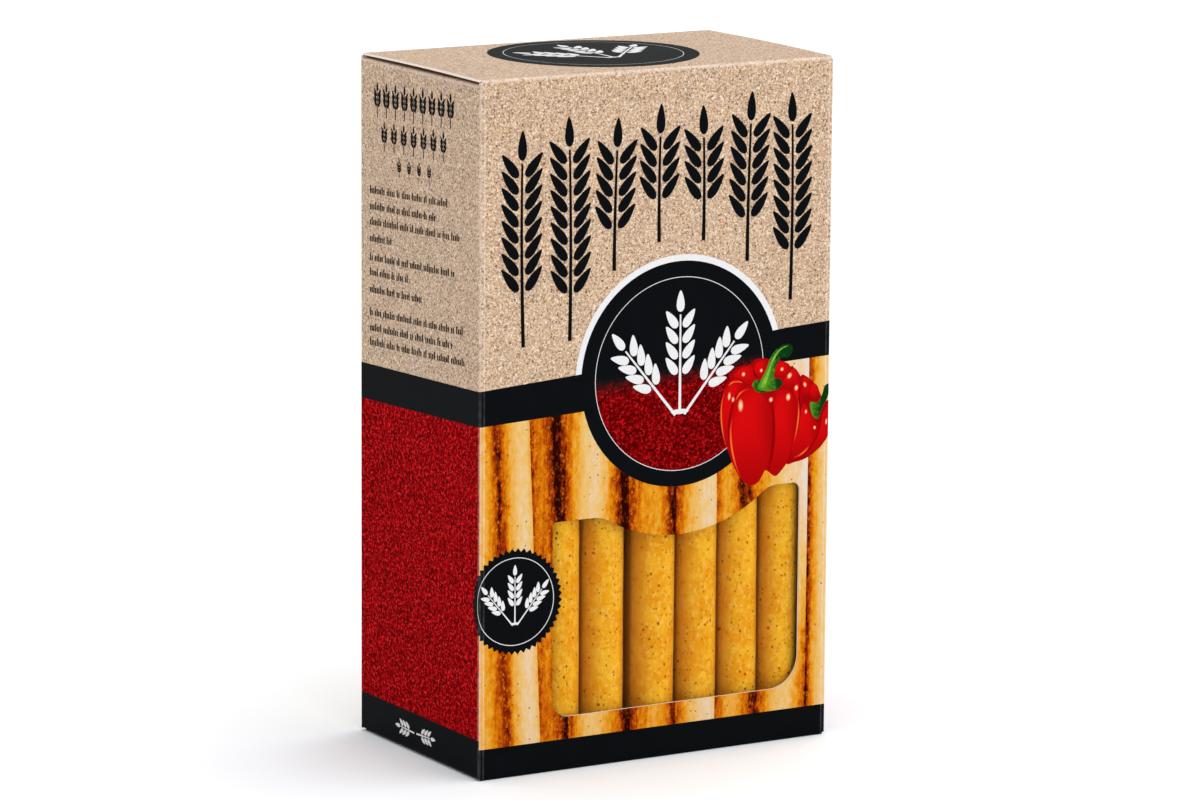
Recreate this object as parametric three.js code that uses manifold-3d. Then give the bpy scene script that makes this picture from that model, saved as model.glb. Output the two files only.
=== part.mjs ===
// A shut carton of grissini: a folded board carton, the clear film behind its die-cut
// window, and the row of breadsticks that stands upright behind the front panel.
//
// Units are millimetres. +Z is up, the front panel faces -Y, +X runs to the right along
// the front, and the origin is at the middle of the carton's base.

import * as THREE from 'three';
import { mergeVertices } from 'three/addons/utils/BufferGeometryUtils.js';
import Module from 'manifold-3d';

// Carton
const WIDTH = 99;
const DEPTH = 60;
const HEIGHT = 170;
const BOARD = 0.5; // one thickness of folding board
const CREASE = 0.9; // outer radius of a fold
const LEDGE = 0.4; // the lid's and base's cut edges stop this far short of each side panel
const SLIT = 0.3; // width of the slits where a tuck flap goes in and where the blank is glued
const CLEAR = 0.3; // air left between two pieces that touch

// Window, seen from the front: x from the middle of the panel, z from the base
const WINDOW = {
  left: -29.1,
  right: 41,
  bottom: 13.3,
  leftShoulder: 61.3,
  rightShoulder: 64.2,
  bottomLeftRadius: 4.5,
  bottomRightRadius: 8,
  topRightRadius: 2,
  topLeftRadius: 1,
  shoulderEase: 4, // how far each shoulder is rounded off into the dip
};
const MEDALLION = { x: 6.2, z: 94.8 }; // the printed disc that the window's top bows round
const DIP_RADIUS = 40; // from the medallion's centre to the bowed edge
const SEAL = { x: -39.5, z: 43.3, radius: 12.6 }; // the printed seal that juts into the window

const FILM = 0.3; // thickness of the clear film
const FILM_LAP = 6; // how far the film laps past the window on each side

// The row of breadsticks, from left to right
const STICK_LENGTH = 160;
const STICK_FRONT = BOARD + CLEAR + FILM + CLEAR; // front of each stick, behind the panel's face
const STICKS = [
  { x: -36.7, diameter: 12.0 },
  { x: -24.08, diameter: 12.2 },
  { x: -11.48, diameter: 12.2 },
  { x: 2.45, diameter: 12.8 },
  { x: 15.04, diameter: 11.8 },
  { x: 26.96, diameter: 11.4 },
  { x: 38.96, diameter: 11.8 },
];
const PHASE_STEP = 1.7; // turns each stick's unevenness, so that no two are alike
const UNEVEN = {
  endRound: 2.5, // length of each rounded end
  endFace: 0.72, // radius of the blunt end, as a share of the stick's
  endCrown: 0.3, // how far the blunt end's middle stands out
  swell: 0.015, // share of the radius by which it swells and shrinks
  swellLength: 11, // a swelling's length over 2 pi
  twistLength: 40, // how fast the swellings turn about the stick
  bow: 0.12, // how far the axis wanders from straight
  bowLengthX: 26, // the wander's length over 2 pi, to the side
  bowLengthY: 31, // and to the front
};
const THICKEST = Math.max(...STICKS.map((stick) => stick.diameter));
const ROW_BACK = STICK_FRONT + THICKEST + 2 * CLEAR; // back of the row's space

const kraft = new THREE.MeshStandardMaterial({ color: 0xcdab86, roughness: 0.85 });
const clear = new THREE.MeshStandardMaterial({
  color: 0xf4f4f0,
  roughness: 0.1,
  transparent: true,
  opacity: 0.25,
});
const baked = new THREE.MeshStandardMaterial({ color: 0xdba23a, roughness: 0.75 });

const wasm = await Module();
wasm.setup();

// A closed three.js geometry as a manifold solid.
function solid(geometry) {
  const plain = geometry.clone();
  plain.deleteAttribute('normal');
  plain.deleteAttribute('uv');
  const merged = mergeVertices(plain, 1e-4);
  return new wasm.Manifold(new wasm.Mesh({
    numProp: 3,
    vertProperties: new Float32Array(merged.attributes.position.array),
    triVerts: new Uint32Array(merged.index.array),
  }));
}

// A manifold solid as a three.js geometry.
function geometryOf(manifold) {
  const mesh = manifold.getMesh();
  const geometry = new THREE.BufferGeometry();
  geometry.setAttribute('position', new THREE.BufferAttribute(mesh.vertProperties, 3));
  geometry.setIndex(new THREE.BufferAttribute(mesh.triVerts, 1));
  geometry.computeVertexNormals();
  return geometry;
}

// A box between two corners.
function box(low, high) {
  const size = high.map((value, i) => value - low[i]);
  const geometry = new THREE.BoxGeometry(...size);
  geometry.translate(...low.map((value, i) => value + size[i] / 2));
  return solid(geometry);
}

// A rectangle with round corners, centred on x = 0, from bottom to bottom + tall.
function roundedRectangle(wide, tall, bottom, radius) {
  const right = wide / 2;
  const top = bottom + tall;
  const quarter = Math.PI / 2;
  const shape = new THREE.Shape();
  shape.absarc(right - radius, bottom + radius, radius, -quarter, 0);
  shape.absarc(right - radius, top - radius, radius, 0, quarter);
  shape.absarc(-right + radius, top - radius, radius, quarter, 2 * quarter);
  shape.absarc(-right + radius, bottom + radius, radius, 2 * quarter, 3 * quarter);
  shape.closePath();
  return shape;
}

function extrude(shape, depth, curveSegments = 4) {
  return new THREE.ExtrudeGeometry(shape, { depth, curveSegments, bevelEnabled: false });
}

// An extrusion along +Z of a shape drawn as seen from the front, stood up so that its
// drawing plane is XZ and it runs back along +Y from frontY.
function stoodUp(shape, depth, frontY, curveSegments) {
  const geometry = extrude(shape, depth, curveSegments);
  geometry.rotateX(Math.PI / 2);
  geometry.translate(0, frontY + depth, 0);
  return geometry;
}

// The window's outline: square-sided with round corners, its top edge bowed down round
// the medallion and its left edge cut round the seal.
function windowShape() {
  const w = WINDOW;
  const quarter = Math.PI / 2;
  const sealReach = Math.acos((w.left - SEAL.x) / SEAL.radius);
  const dipRight = Math.asin((w.rightShoulder - MEDALLION.z) / DIP_RADIUS);
  const dipLeft = -Math.PI - Math.asin((w.leftShoulder - MEDALLION.z) / DIP_RADIUS);
  const ease = w.shoulderEase / DIP_RADIUS;
  const onDip = (angle) => [
    MEDALLION.x + DIP_RADIUS * Math.cos(angle),
    MEDALLION.z + DIP_RADIUS * Math.sin(angle),
  ];
  const shape = new THREE.Shape();
  shape.absarc(
    w.left + w.bottomLeftRadius, w.bottom + w.bottomLeftRadius,
    w.bottomLeftRadius, 2 * quarter, 3 * quarter,
  );
  shape.absarc(
    w.right - w.bottomRightRadius, w.bottom + w.bottomRightRadius,
    w.bottomRightRadius, 3 * quarter, 4 * quarter,
  );
  shape.absarc(
    w.right - w.topRightRadius, w.rightShoulder - w.topRightRadius,
    w.topRightRadius, 0, quarter,
  );
  shape.lineTo(onDip(dipRight)[0] + w.shoulderEase, w.rightShoulder);
  shape.quadraticCurveTo(...onDip(dipRight), ...onDip(dipRight - ease));
  shape.absarc(MEDALLION.x, MEDALLION.z, DIP_RADIUS, dipRight - ease, dipLeft + ease, true);
  shape.quadraticCurveTo(...onDip(dipLeft), onDip(dipLeft)[0] - w.shoulderEase, w.leftShoulder);
  shape.absarc(
    w.left + w.topLeftRadius, w.leftShoulder - w.topLeftRadius,
    w.topLeftRadius, quarter, 2 * quarter,
  );
  shape.absarc(SEAL.x, SEAL.z, SEAL.radius, sealReach, -sealReach, true);
  shape.closePath();
  return shape;
}

// What is cut away where edges of the blank meet: at each end, a step along each side,
// where the closing panel's cut edge stands above the folded-in flap, and a slit along the
// back, where its tuck flap goes in; and one upright slit at the glued corner.
function seams() {
  const back = DEPTH / 2;
  const side = WIDTH / 2;
  const slitTop = HEIGHT - CREASE;
  const steps = [0, HEIGHT].flatMap((z) => [-side, side].map((x) => box(
    [x - LEDGE, -DEPTH, z - 2 * BOARD],
    [x + LEDGE, DEPTH, z + 2 * BOARD],
  )));
  const slits = [CREASE, slitTop - SLIT].map((z) => box(
    [-side + BOARD, back - BOARD, z],
    [side - BOARD, back + BOARD, z + SLIT],
  ));
  const gluedCorner = box(
    [side - CREASE - SLIT, back - BOARD, CREASE + SLIT],
    [side - CREASE, back + BOARD, slitTop - SLIT],
  );
  return [...steps, ...slits, gluedCorner];
}

// The folded carton: rounded folds, the seams, the window, and the space of the front row.
// What is behind that row is solid.
function cartonGeometry() {
  const plan = extrude(roundedRectangle(WIDTH, DEPTH, -DEPTH / 2, CREASE), HEIGHT);
  const profile = extrude(roundedRectangle(DEPTH, HEIGHT, 0, CREASE), WIDTH);
  profile.rotateX(Math.PI / 2);
  profile.rotateZ(Math.PI / 2);
  profile.translate(-WIDTH / 2, 0, 0);
  const front = -DEPTH / 2;
  const inside = WIDTH / 2 - BOARD;
  const rowSpace = box(
    [-inside, front + BOARD, 2 * BOARD],
    [inside, front + ROW_BACK, HEIGHT - 2 * BOARD],
  );
  const windowCut = solid(stoodUp(windowShape(), 3 * BOARD, front - BOARD, 8));
  const outside = solid(plan).intersect(solid(profile));
  const cuts = [...seams(), rowSpace, windowCut];
  return geometryOf(cuts.reduce((carton, cut) => carton.subtract(cut), outside));
}

// The clear film glued behind the window.
function filmGeometry() {
  const wide = WINDOW.right - WINDOW.left + 2 * FILM_LAP;
  const tall = WINDOW.rightShoulder - WINDOW.bottom + 2 * FILM_LAP;
  const sheet = roundedRectangle(wide, tall, WINDOW.bottom - FILM_LAP, FILM_LAP / 4);
  const geometry = stoodUp(sheet, FILM, -DEPTH / 2 + BOARD + CLEAR, 2);
  geometry.translate((WINDOW.right + WINDOW.left) / 2, 0, 0);
  return geometry;
}

// A baked stick: a round rod with blunt ends, a little out of round, with a slow bow and
// swellings that differ from stick to stick.
function stickGeometry(radius, phase) {
  const { endRound, endFace, endCrown, swell, swellLength, twistLength } = UNEVEN;
  const rings = 14;
  const sides = 14;
  const profile = [new THREE.Vector2(0, 0), new THREE.Vector2(radius * endFace, endCrown)];
  for (let i = 0; i <= rings; i++) {
    const along = endRound + (STICK_LENGTH - 2 * endRound) * (i / rings);
    profile.push(new THREE.Vector2(radius, along));
  }
  profile.push(new THREE.Vector2(radius * endFace, STICK_LENGTH - endCrown));
  profile.push(new THREE.Vector2(0, STICK_LENGTH));
  const lathe = new THREE.LatheGeometry(profile, sides);
  lathe.rotateX(Math.PI / 2);
  lathe.deleteAttribute('normal');
  lathe.deleteAttribute('uv');
  const geometry = mergeVertices(lathe, 1e-4);
  const position = geometry.attributes.position;
  for (let i = 0; i < position.count; i++) {
    const x = position.getX(i);
    const y = position.getY(i);
    const z = position.getZ(i);
    const turn = Math.atan2(y, x) + phase + z / twistLength;
    const share = 1 - swell + swell * Math.sin(z / swellLength + phase) * Math.cos(turn);
    position.setX(i, x * share + UNEVEN.bow * Math.sin(z / UNEVEN.bowLengthX + phase));
    position.setY(i, y * share + UNEVEN.bow * Math.sin(z / UNEVEN.bowLengthY + 2 * phase));
  }
  geometry.computeVertexNormals();
  return geometry;
}

function named(name, geometry, material) {
  const mesh = new THREE.Mesh(geometry, material);
  mesh.name = name;
  return mesh;
}

const packOfGrissini = new THREE.Group();
packOfGrissini.add(named('carton', cartonGeometry(), kraft));
packOfGrissini.add(named('window_film', filmGeometry(), clear));

STICKS.forEach(({ x, diameter }, i) => {
  const stick = named(`breadstick_${i + 1}`, stickGeometry(diameter / 2, PHASE_STEP * i), baked);
  const axisY = -DEPTH / 2 + STICK_FRONT + THICKEST / 2;
  stick.position.set(x, axisY, 2 * BOARD + CLEAR);
  packOfGrissini.add(stick);
});

export default packOfGrissini;
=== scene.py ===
"""A shut kraft carton of grissini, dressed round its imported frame.

Sizes are in millimetres, as on a carton maker's drawing, and MM turns them into metres.
+Z is up, the front panel faces -Y, and +X runs to the right along the front.
"""

import itertools
import math

import bmesh
import bpy
from mathutils import Matrix, Vector, noise
from mathutils.geometry import delaunay_2d_cdt


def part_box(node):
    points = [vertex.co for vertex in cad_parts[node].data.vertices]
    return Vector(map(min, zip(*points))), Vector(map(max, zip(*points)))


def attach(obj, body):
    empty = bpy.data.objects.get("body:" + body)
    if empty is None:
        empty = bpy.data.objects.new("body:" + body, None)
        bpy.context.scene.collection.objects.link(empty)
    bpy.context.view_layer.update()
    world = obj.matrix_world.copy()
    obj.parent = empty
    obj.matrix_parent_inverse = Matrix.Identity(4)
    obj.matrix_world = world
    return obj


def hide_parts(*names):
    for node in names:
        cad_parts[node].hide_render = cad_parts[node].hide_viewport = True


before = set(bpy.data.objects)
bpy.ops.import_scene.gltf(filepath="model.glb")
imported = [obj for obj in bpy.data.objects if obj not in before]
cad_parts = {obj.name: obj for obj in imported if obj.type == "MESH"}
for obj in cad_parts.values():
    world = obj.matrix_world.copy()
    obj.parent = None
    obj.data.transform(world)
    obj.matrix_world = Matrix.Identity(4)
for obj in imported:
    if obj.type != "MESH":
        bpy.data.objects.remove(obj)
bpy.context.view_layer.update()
MM = 0.001

# ---------------------------------------------------------------------------------------
# Camera
# A long lens, to the left of the front panel and somewhat above the carton.
# ---------------------------------------------------------------------------------------
CAMERA_PLACE = Vector((-711.26, -1206.16, 348.19))
CAMERA_AZIMUTH = math.radians(-30.579)
CAMERA_ELEVATION = math.radians(10.686)
CAMERA_ROLL = math.radians(0.395)
CAMERA_LENS = 173.76
SENSOR_WIDTH = 36.0

away = Vector((
    math.sin(CAMERA_AZIMUTH) * math.cos(CAMERA_ELEVATION),
    -math.cos(CAMERA_AZIMUTH) * math.cos(CAMERA_ELEVATION),
    math.sin(CAMERA_ELEVATION),
))
to_right = Vector((math.cos(CAMERA_AZIMUTH), math.sin(CAMERA_AZIMUTH), 0))
upright = Matrix((to_right, away.cross(to_right), away)).transposed()


def new_object(name, data):
    """An object in the scene for this data."""
    item = bpy.data.objects.new(name, data)
    bpy.context.scene.collection.objects.link(item)
    return item


camera_data = bpy.data.cameras.new("camera")
camera_data.lens = CAMERA_LENS
camera_data.sensor_width = SENSOR_WIDTH
camera = new_object("camera", camera_data)
camera.matrix_world = (
    Matrix.Translation(CAMERA_PLACE * MM)
    @ upright.to_4x4()
    @ Matrix.Rotation(CAMERA_ROLL, 4, "Z")
)
bpy.context.scene.camera = camera

# ---------------------------------------------------------------------------------------
# Breadsticks
# Thin rods of dough, rolled, cut to length and baked dry: golden all over, with a fine
# crumbly grain and flecks of bran and paprika. They stand side by side behind the window.
# ---------------------------------------------------------------------------------------
STICK_COUNT = 7
STICK_TRIM = 0.2  # taken off the frame's thickness, to leave room for the crust's lumps
STICK_RINGS = 260
STICK_SIDES = 64
END_ROUND = 2.5  # length of each rounded end
END_FACE = 0.72  # radius of the blunt end, as a share of the stick's
WANDER = 0.12  # how far the axis strays from straight
WANDER_WAVES = ((26.0, 1.0), (31.0, 2.0))  # its wave across and to the front: length, turns
PHASE_STEP = 1.7  # between the waves of one stick and of the next
LUMP_SIZE, LUMP_RISE = 9.0, 0.22
WRINKLE_SIZE, WRINKLE_RISE = 2.2, 0.10


def add_node(tree, kind, inputs=None, **settings):
    """A new node: settings are its own properties, inputs are values or sockets to link."""
    node = tree.nodes.new(kind)
    for name, value in settings.items():
        setattr(node, name, value)
    for key, value in (inputs or {}).items():
        if isinstance(value, bpy.types.NodeSocket):
            tree.links.new(value, node.inputs[key])
        else:
            node.inputs[key].default_value = value
    return node


def made(tree, kind, inputs=None, **settings):
    """The first output of a new node."""
    return add_node(tree, kind, inputs, **settings).outputs[0]


def maths(tree, operation, *values):
    """The result of a Math node."""
    return made(tree, "ShaderNodeMath", dict(enumerate(values)), operation=operation)


def vector(tree, x=0.0, y=0.0, z=0.0):
    """A vector made of three values."""
    return made(tree, "ShaderNodeCombineXYZ", {0: x, 1: y, 2: z})


def new_tree(name, **inputs):
    """A geometry tree with named inputs and one geometry output, and its two end nodes."""
    tree = bpy.data.node_groups.new(name, "GeometryNodeTree")
    tree.interface.new_socket("Geometry", in_out="OUTPUT", socket_type="NodeSocketGeometry")
    for label, value in inputs.items():
        kind = "NodeSocketInt" if isinstance(value, int) else "NodeSocketFloat"
        socket = tree.interface.new_socket(label, in_out="INPUT", socket_type=kind)
        socket.default_value = value
    given = tree.nodes.new("NodeGroupInput").outputs
    result = tree.nodes.new("NodeGroupOutput")
    return tree, given, result


def mesh_from_tree(tree, **inputs):
    """The plain mesh that a geometry tree makes from these inputs."""
    carrier = new_object("carrier", bpy.data.meshes.new("carrier"))
    modifier = carrier.modifiers.new("tree", "NODES")
    modifier.node_group = tree
    for item in tree.interface.items_tree:
        if item.in_out == "INPUT" and item.name in inputs:
            modifier[item.identifier] = inputs[item.name]
    evaluated = carrier.evaluated_get(bpy.context.evaluated_depsgraph_get())
    mesh = bpy.data.meshes.new_from_object(evaluated)
    carrier.modifiers.remove(modifier)
    bpy.data.objects.remove(carrier)
    return mesh


def new_piece(name, mesh, slot, *replaced):
    """An object for a finished mesh, riding on the carton's one body."""
    piece = new_object(name, mesh)
    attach(piece, "root")
    if replaced:
        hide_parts(*replaced)
    return piece


def linear(red, green, blue):
    """A 0 to 255 screen colour as Blender's linear colour."""
    shares = (value / 255 for value in (red, green, blue))
    parts = (s / 12.92 if s <= 0.04045 else ((s + 0.055) / 1.055) ** 2.4 for s in shares)
    return (*parts, 1.0)


def new_material(name, constants):
    """A Principled material with these constants on its sockets, and its tree."""
    material = bpy.data.materials.new(name)
    material.use_nodes = True
    shader = material.node_tree.nodes["Principled BSDF"]
    for socket, value in constants.items():
        shader.inputs[socket].default_value = value
    return material, material.node_tree


def in_millimetres(tree, squeeze=(1, 1, 1), shift=0.0):
    """Object coordinates in millimetres, each axis squeezed, and shifted to vary a pattern."""
    place = tree.nodes.new("ShaderNodeTexCoord").outputs["Object"]
    inputs = {"Vector": place, "Scale": [s / MM for s in squeeze], "Location": [shift] * 3}
    return made(tree, "ShaderNodeMapping", inputs)


def cloud(tree, place, size, detail=2.0, roughness=0.5):
    """Soft noise from 0 to 1 with features of about that size."""
    inputs = {"Vector": place, "Scale": 1 / size, "Detail": detail, "Roughness": roughness}
    return made(tree, "ShaderNodeTexNoise", inputs)


def between(tree, value, low, high, to_low=0.0, to_high=1.0):
    """Runs smoothly from to_low at low to to_high at high, and is level outside them."""
    inputs = {0: value, 1: low, 2: high, 3: to_low, 4: to_high}
    return made(tree, "ShaderNodeMapRange", inputs, interpolation_type="SMOOTHSTEP")


def blend(tree, share, below, above):
    """The colour that lies this share of the way from below to above."""
    inputs = {0: share, 6: below, 7: above}
    return add_node(tree, "ShaderNodeMix", inputs, data_type="RGBA").outputs[2]


def tinted(tree, colour, share, strength, tone):
    """The colour, blended that strongly towards the tone where the share is 1."""
    return blend(tree, maths(tree, "MULTIPLY", share, strength), colour, tone)


def finished(material, colour, height=None, strength=0.0, depth=0.0):
    """The material with its colour on its shader and, if given, its height as a bump."""
    tree = material.node_tree
    shader = tree.nodes["Principled BSDF"]
    tree.links.new(colour, shader.inputs["Base Color"])
    if height is not None:
        inputs = {"Height": height, "Strength": strength, "Distance": depth * MM}
        bump = add_node(tree, "ShaderNodeBump", inputs)
        tree.links.new(bump.outputs["Normal"], shader.inputs["Normal"])
    return material


def specks(tree, place, spacing, radius, share):
    """Roundish specks of up to that radius, in this share of cells that far apart."""
    cells = add_node(tree, "ShaderNodeTexVoronoi", {"Vector": place, "Scale": 1 / spacing})
    chance = add_node(tree, "ShaderNodeSeparateColor", {0: cells.outputs["Color"]})
    spot = between(tree, cells.outputs["Distance"], radius / spacing, 0.55 * radius / spacing)
    kept = maths(tree, "LESS_THAN", chance.outputs[0], share)
    return maths(tree, "MULTIPLY", spot, kept)


def crust_material():
    """Baked dough: golden, with painted shade down its flanks, and pale crumb and flecks of bran.
    """
    material, tree = new_material("crust", {"Roughness": 0.62, "Specular IOR Level": 0.03})
    place = in_millimetres(tree)
    streaked = in_millimetres(tree, (1, 1, 0.6), shift=31)
    patches = between(tree, cloud(tree, place, 5.0, detail=4.0, roughness=0.6), 0.36, 0.64)
    colour = blend(tree, patches, linear(229, 150, 2), linear(237, 175, 32))
    pores = between(tree, cloud(tree, place, 1.0, detail=4.0, roughness=0.75), 0.47, 0.36)
    colour = tinted(tree, colour, pores, 0.6, linear(212, 122, 2))
    crumb = between(tree, cloud(tree, streaked, 0.9, detail=4.0, roughness=0.8), 0.5, 0.6)
    colour = tinted(tree, colour, crumb, 0.45, linear(250, 206, 90))
    flank = add_node(tree, "ShaderNodeAttribute", attribute_name="flank").outputs["Fac"]
    # Painted shade down each stick's flanks, and a darker painted shadow line where it meets its
    # neighbours.
    flank_shade = between(tree, flank, 0.3, 1.0, 0.0, 0.6)
    colour = blend(tree, flank_shade, colour, linear(192, 108, 0))
    colour = blend(tree, between(tree, flank, 0.93, 1.0, 0.0, 0.6), colour, linear(112, 54, 0))
    dust = specks(tree, in_millimetres(tree, (1, 1, 0.8), shift=11), 1.2, 0.3, 0.6)
    colour = tinted(tree, colour, dust, 0.8, linear(136, 76, 6))
    bran = specks(tree, in_millimetres(tree, (1, 1, 0.75), shift=7), 2.0, 0.34, 0.5)
    colour = tinted(tree, colour, bran, 0.9, linear(92, 42, 2))
    paprika = specks(tree, in_millimetres(tree, shift=53), 4.6, 0.55, 0.5)
    colour = tinted(tree, colour, paprika, 0.95, linear(196, 60, 2))
    return finished(material, colour, maths(tree, "SUBTRACT", crumb, pores), 0.7, 0.1)


def breadstick_tree(crust):
    """A round rod along +Z with blunt ends, a wandering axis and a lumpy, wrinkled skin."""
    tree, given, result = new_tree("breadstick", Length=160.0, Thickness=12.0, Phase=0.0)
    top = vector(tree, z=given["Length"])
    axis = made(tree, "GeometryNodeCurvePrimitiveLine", {"End": top})
    axis = made(tree, "GeometryNodeResampleCurve", {"Curve": axis, "Count": STICK_RINGS})
    place = tree.nodes.new("GeometryNodeInputPosition").outputs[0]
    z = add_node(tree, "ShaderNodeSeparateXYZ", {0: place}).outputs["Z"]

    # The axis strays a little from straight, as in the frame.
    stray = []
    for wave, turns in WANDER_WAVES:
        phase = maths(tree, "MULTIPLY", given["Phase"], turns)
        angle = maths(tree, "ADD", maths(tree, "DIVIDE", z, wave), phase)
        stray.append(maths(tree, "MULTIPLY", maths(tree, "SINE", angle), WANDER))
    inputs = {"Geometry": axis, "Offset": vector(tree, *stray)}
    axis = made(tree, "GeometryNodeSetPosition", inputs)

    # Quarter-round ends: the radius grows from END_FACE to the whole over END_ROUND.
    from_end = maths(tree, "MINIMUM", z, maths(tree, "SUBTRACT", given["Length"], z))
    inward = maths(tree, "MINIMUM", maths(tree, "DIVIDE", from_end, END_ROUND), 1.0)
    short = maths(tree, "POWER", maths(tree, "SUBTRACT", 1.0, inward), 2.0)
    arc = maths(tree, "SQRT", maths(tree, "SUBTRACT", 1.0, short))
    share = maths(tree, "MULTIPLY_ADD", arc, 1 - END_FACE, END_FACE)
    radius = maths(tree, "DIVIDE", given["Thickness"], 2.0)
    inputs = {"Resolution": STICK_SIDES, "Radius": radius}
    ring = made(tree, "GeometryNodeCurvePrimitiveCircle", inputs)
    inputs = {"Curve": axis, "Profile Curve": ring, "Scale": share, "Fill Caps": True}
    rod = made(tree, "GeometryNodeCurveToMesh", inputs)

    # The crust is told how far each point of the skin faces sideways, where it paints shade.
    normal = tree.nodes.new("GeometryNodeInputNormal").outputs[0]
    sideways = add_node(tree, "ShaderNodeSeparateXYZ", {0: normal}).outputs["X"]
    inputs = {"Geometry": rod, "Name": "flank", "Value": maths(tree, "ABSOLUTE", sideways)}
    kind = {"data_type": "FLOAT", "domain": "POINT"}
    rod = made(tree, "GeometryNodeStoreNamedAttribute", inputs, **kind)

    # Lumps and wrinkles push the skin in and out.
    seed = maths(tree, "MULTIPLY", given["Phase"], 13.0)
    rise = 0.0
    for size, height in ((LUMP_SIZE, LUMP_RISE), (WRINKLE_SIZE, WRINKLE_RISE)):
        inputs = {"Vector": place, "W": seed, "Scale": 1 / size, "Detail": 2.0}
        waves = made(tree, "ShaderNodeTexNoise", inputs, noise_dimensions="4D")
        swing = maths(tree, "SUBTRACT", waves, 0.5)
        rise = maths(tree, "MULTIPLY_ADD", swing, height, rise)
    push = made(tree, "ShaderNodeVectorMath", {0: normal, "Scale": rise}, operation="SCALE")
    rod = made(tree, "GeometryNodeSetPosition", {"Geometry": rod, "Offset": push})
    rod = made(tree, "GeometryNodeRealizeInstances", {"Geometry": rod})
    rod = made(tree, "GeometryNodeSetMaterial", {"Geometry": rod, "Material": crust})
    tree.links.new(rod, result.inputs[0])
    return tree


breadstick = breadstick_tree(crust_material())
for number in range(1, STICK_COUNT + 1):
    node = f"breadstick_{number}"
    low, high = (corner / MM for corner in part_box(node))
    rod = mesh_from_tree(
        breadstick,
        Length=high.z - low.z,
        Thickness=high.x - low.x - STICK_TRIM,
        Phase=PHASE_STEP * (number - 1),
    )
    foot = Vector(((low.x + high.x) / 2, (low.y + high.y) / 2, low.z))
    rod.transform(Matrix.Scale(MM, 4) @ Matrix.Translation(foot))
    rod.shade_smooth()
    new_piece(f"stick_{number}", rod, "crust", node)

# ---------------------------------------------------------------------------------------
# Window film
# A sheet of clear film, glued behind the front panel all round the window. It lies very
# nearly flat, with a slight wave.
# ---------------------------------------------------------------------------------------
FILM_THICKNESS = 0.05
FILM_WAVE, FILM_WAVE_SIZE = 0.1, 26.0  # height and length of its wave
FILM_CELLS = (40, 32)


def film_material():
    """Clear film: it passes nearly all light, and mirrors more of it the flatter it is seen."""
    material = bpy.data.materials.new("film")
    material.use_nodes = True
    tree = material.node_tree
    tree.nodes.remove(tree.nodes["Principled BSDF"])
    clear = made(tree, "ShaderNodeBsdfTransparent", {"Color": (0.998, 0.998, 0.996, 1)})
    gloss = made(tree, "ShaderNodeBsdfGlossy", {"Roughness": 0.06})
    flatness = add_node(tree, "ShaderNodeLayerWeight", {"Blend": 0.5}).outputs["Facing"]
    mirror = maths(tree, "MULTIPLY_ADD", maths(tree, "POWER", flatness, 5.0), 0.6, 0.003)
    mix = made(tree, "ShaderNodeMixShader", {0: mirror, 1: clear, 2: gloss})
    tree.links.new(mix, tree.nodes["Material Output"].inputs["Surface"])
    return material


def film_mesh():
    """A gently waved sheet in the film's place in the frame."""
    low, high = (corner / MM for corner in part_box("window_film"))
    columns, rows = FILM_CELLS
    built = bmesh.new()
    bmesh.ops.create_grid(built, x_segments=columns, y_segments=rows, size=0.5)
    for point in built.verts:
        x = low.x + (point.co.x + 0.5) * (high.x - low.x)
        z = low.z + (point.co.y + 0.5) * (high.z - low.z)
        wave = FILM_WAVE * noise.noise(Vector((x, 0, z)) / FILM_WAVE_SIZE)
        point.co = Vector((x, (low.y + high.y) / 2 + wave, z)) * MM
    mesh = bpy.data.meshes.new("clear_film")
    built.to_mesh(mesh)
    built.free()
    return mesh


film = new_piece("clear_film", film_mesh(), "film", "window_film")
film.data.materials.append(film_material())
film.data.shade_smooth()
thicken = film.modifiers.new("thickness", "SOLIDIFY")
thicken.thickness = FILM_THICKNESS * MM
thicken.offset = 0

# ---------------------------------------------------------------------------------------
# Filling
# The rest of the breadsticks stand behind the front row, where nothing of them is seen, so
# they are one plain block of baked dough that fills the carton.
# ---------------------------------------------------------------------------------------
FILLING_FRONT = -15.1  # y of its front, behind the row
FILLING_INSET = Vector((1.2, 1.7, 1.3))  # how far inside the carton's faces it stops
FILLING_TOP = 2.8  # and how far below the lid


def filling_mesh():
    """A plain box, closed, with its faces outward."""
    low, high = (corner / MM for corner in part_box("carton"))
    low = Vector((low.x + FILLING_INSET.x, FILLING_FRONT, low.z + FILLING_INSET.z))
    high = high - Vector((FILLING_INSET.x, FILLING_INSET.y, FILLING_TOP))
    built = bmesh.new()
    bmesh.ops.create_cube(built, size=1.0)
    for point in built.verts:
        share = point.co + Vector((0.5, 0.5, 0.5))
        point.co = Vector(a + (b - a) * s for a, b, s in zip(low, high, share)) * MM
    mesh = bpy.data.meshes.new("filling")
    built.to_mesh(mesh)
    built.free()
    return mesh


filling = new_piece("filling", filling_mesh(), "crust")
filling.data.materials.append(bpy.data.materials["crust"])

# ---------------------------------------------------------------------------------------
# Carton board
# One blank of kraft folding board, creased, die-cut for the window, glued at the back
# right corner and shut with a tuck flap at each end. It is drawn flat: u runs round the
# walls from the front's left crease, v up from the base, and lift is out of the board.
# ---------------------------------------------------------------------------------------
carton_low, carton_high = (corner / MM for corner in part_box("carton"))
WIDTH, DEPTH, HEIGHT = carton_high - carton_low
BOARD = 0.45  # thickness
FOLD = 0.9  # outer radius of a crease
FOLD_STEPS = 6
CORNER_SLACK = 1e-3  # a point this near the end of a corner's bend counts as clear of it
CUT_TOLERANCE = 1e-4  # points of the flat blank nearer than this are one
PRESSED_HIGHLIGHT_LINE = 1.4  # a second pale line this far in from a corner: a crease mark, with a painted highlight
INK = 0.04  # thickness of a printed ink
INK_ROOM = 0.12  # the board's face lies this far inside the frame's, and the inks on it
LID = HEIGHT - 0.3  # height of the lid's crease
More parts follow.
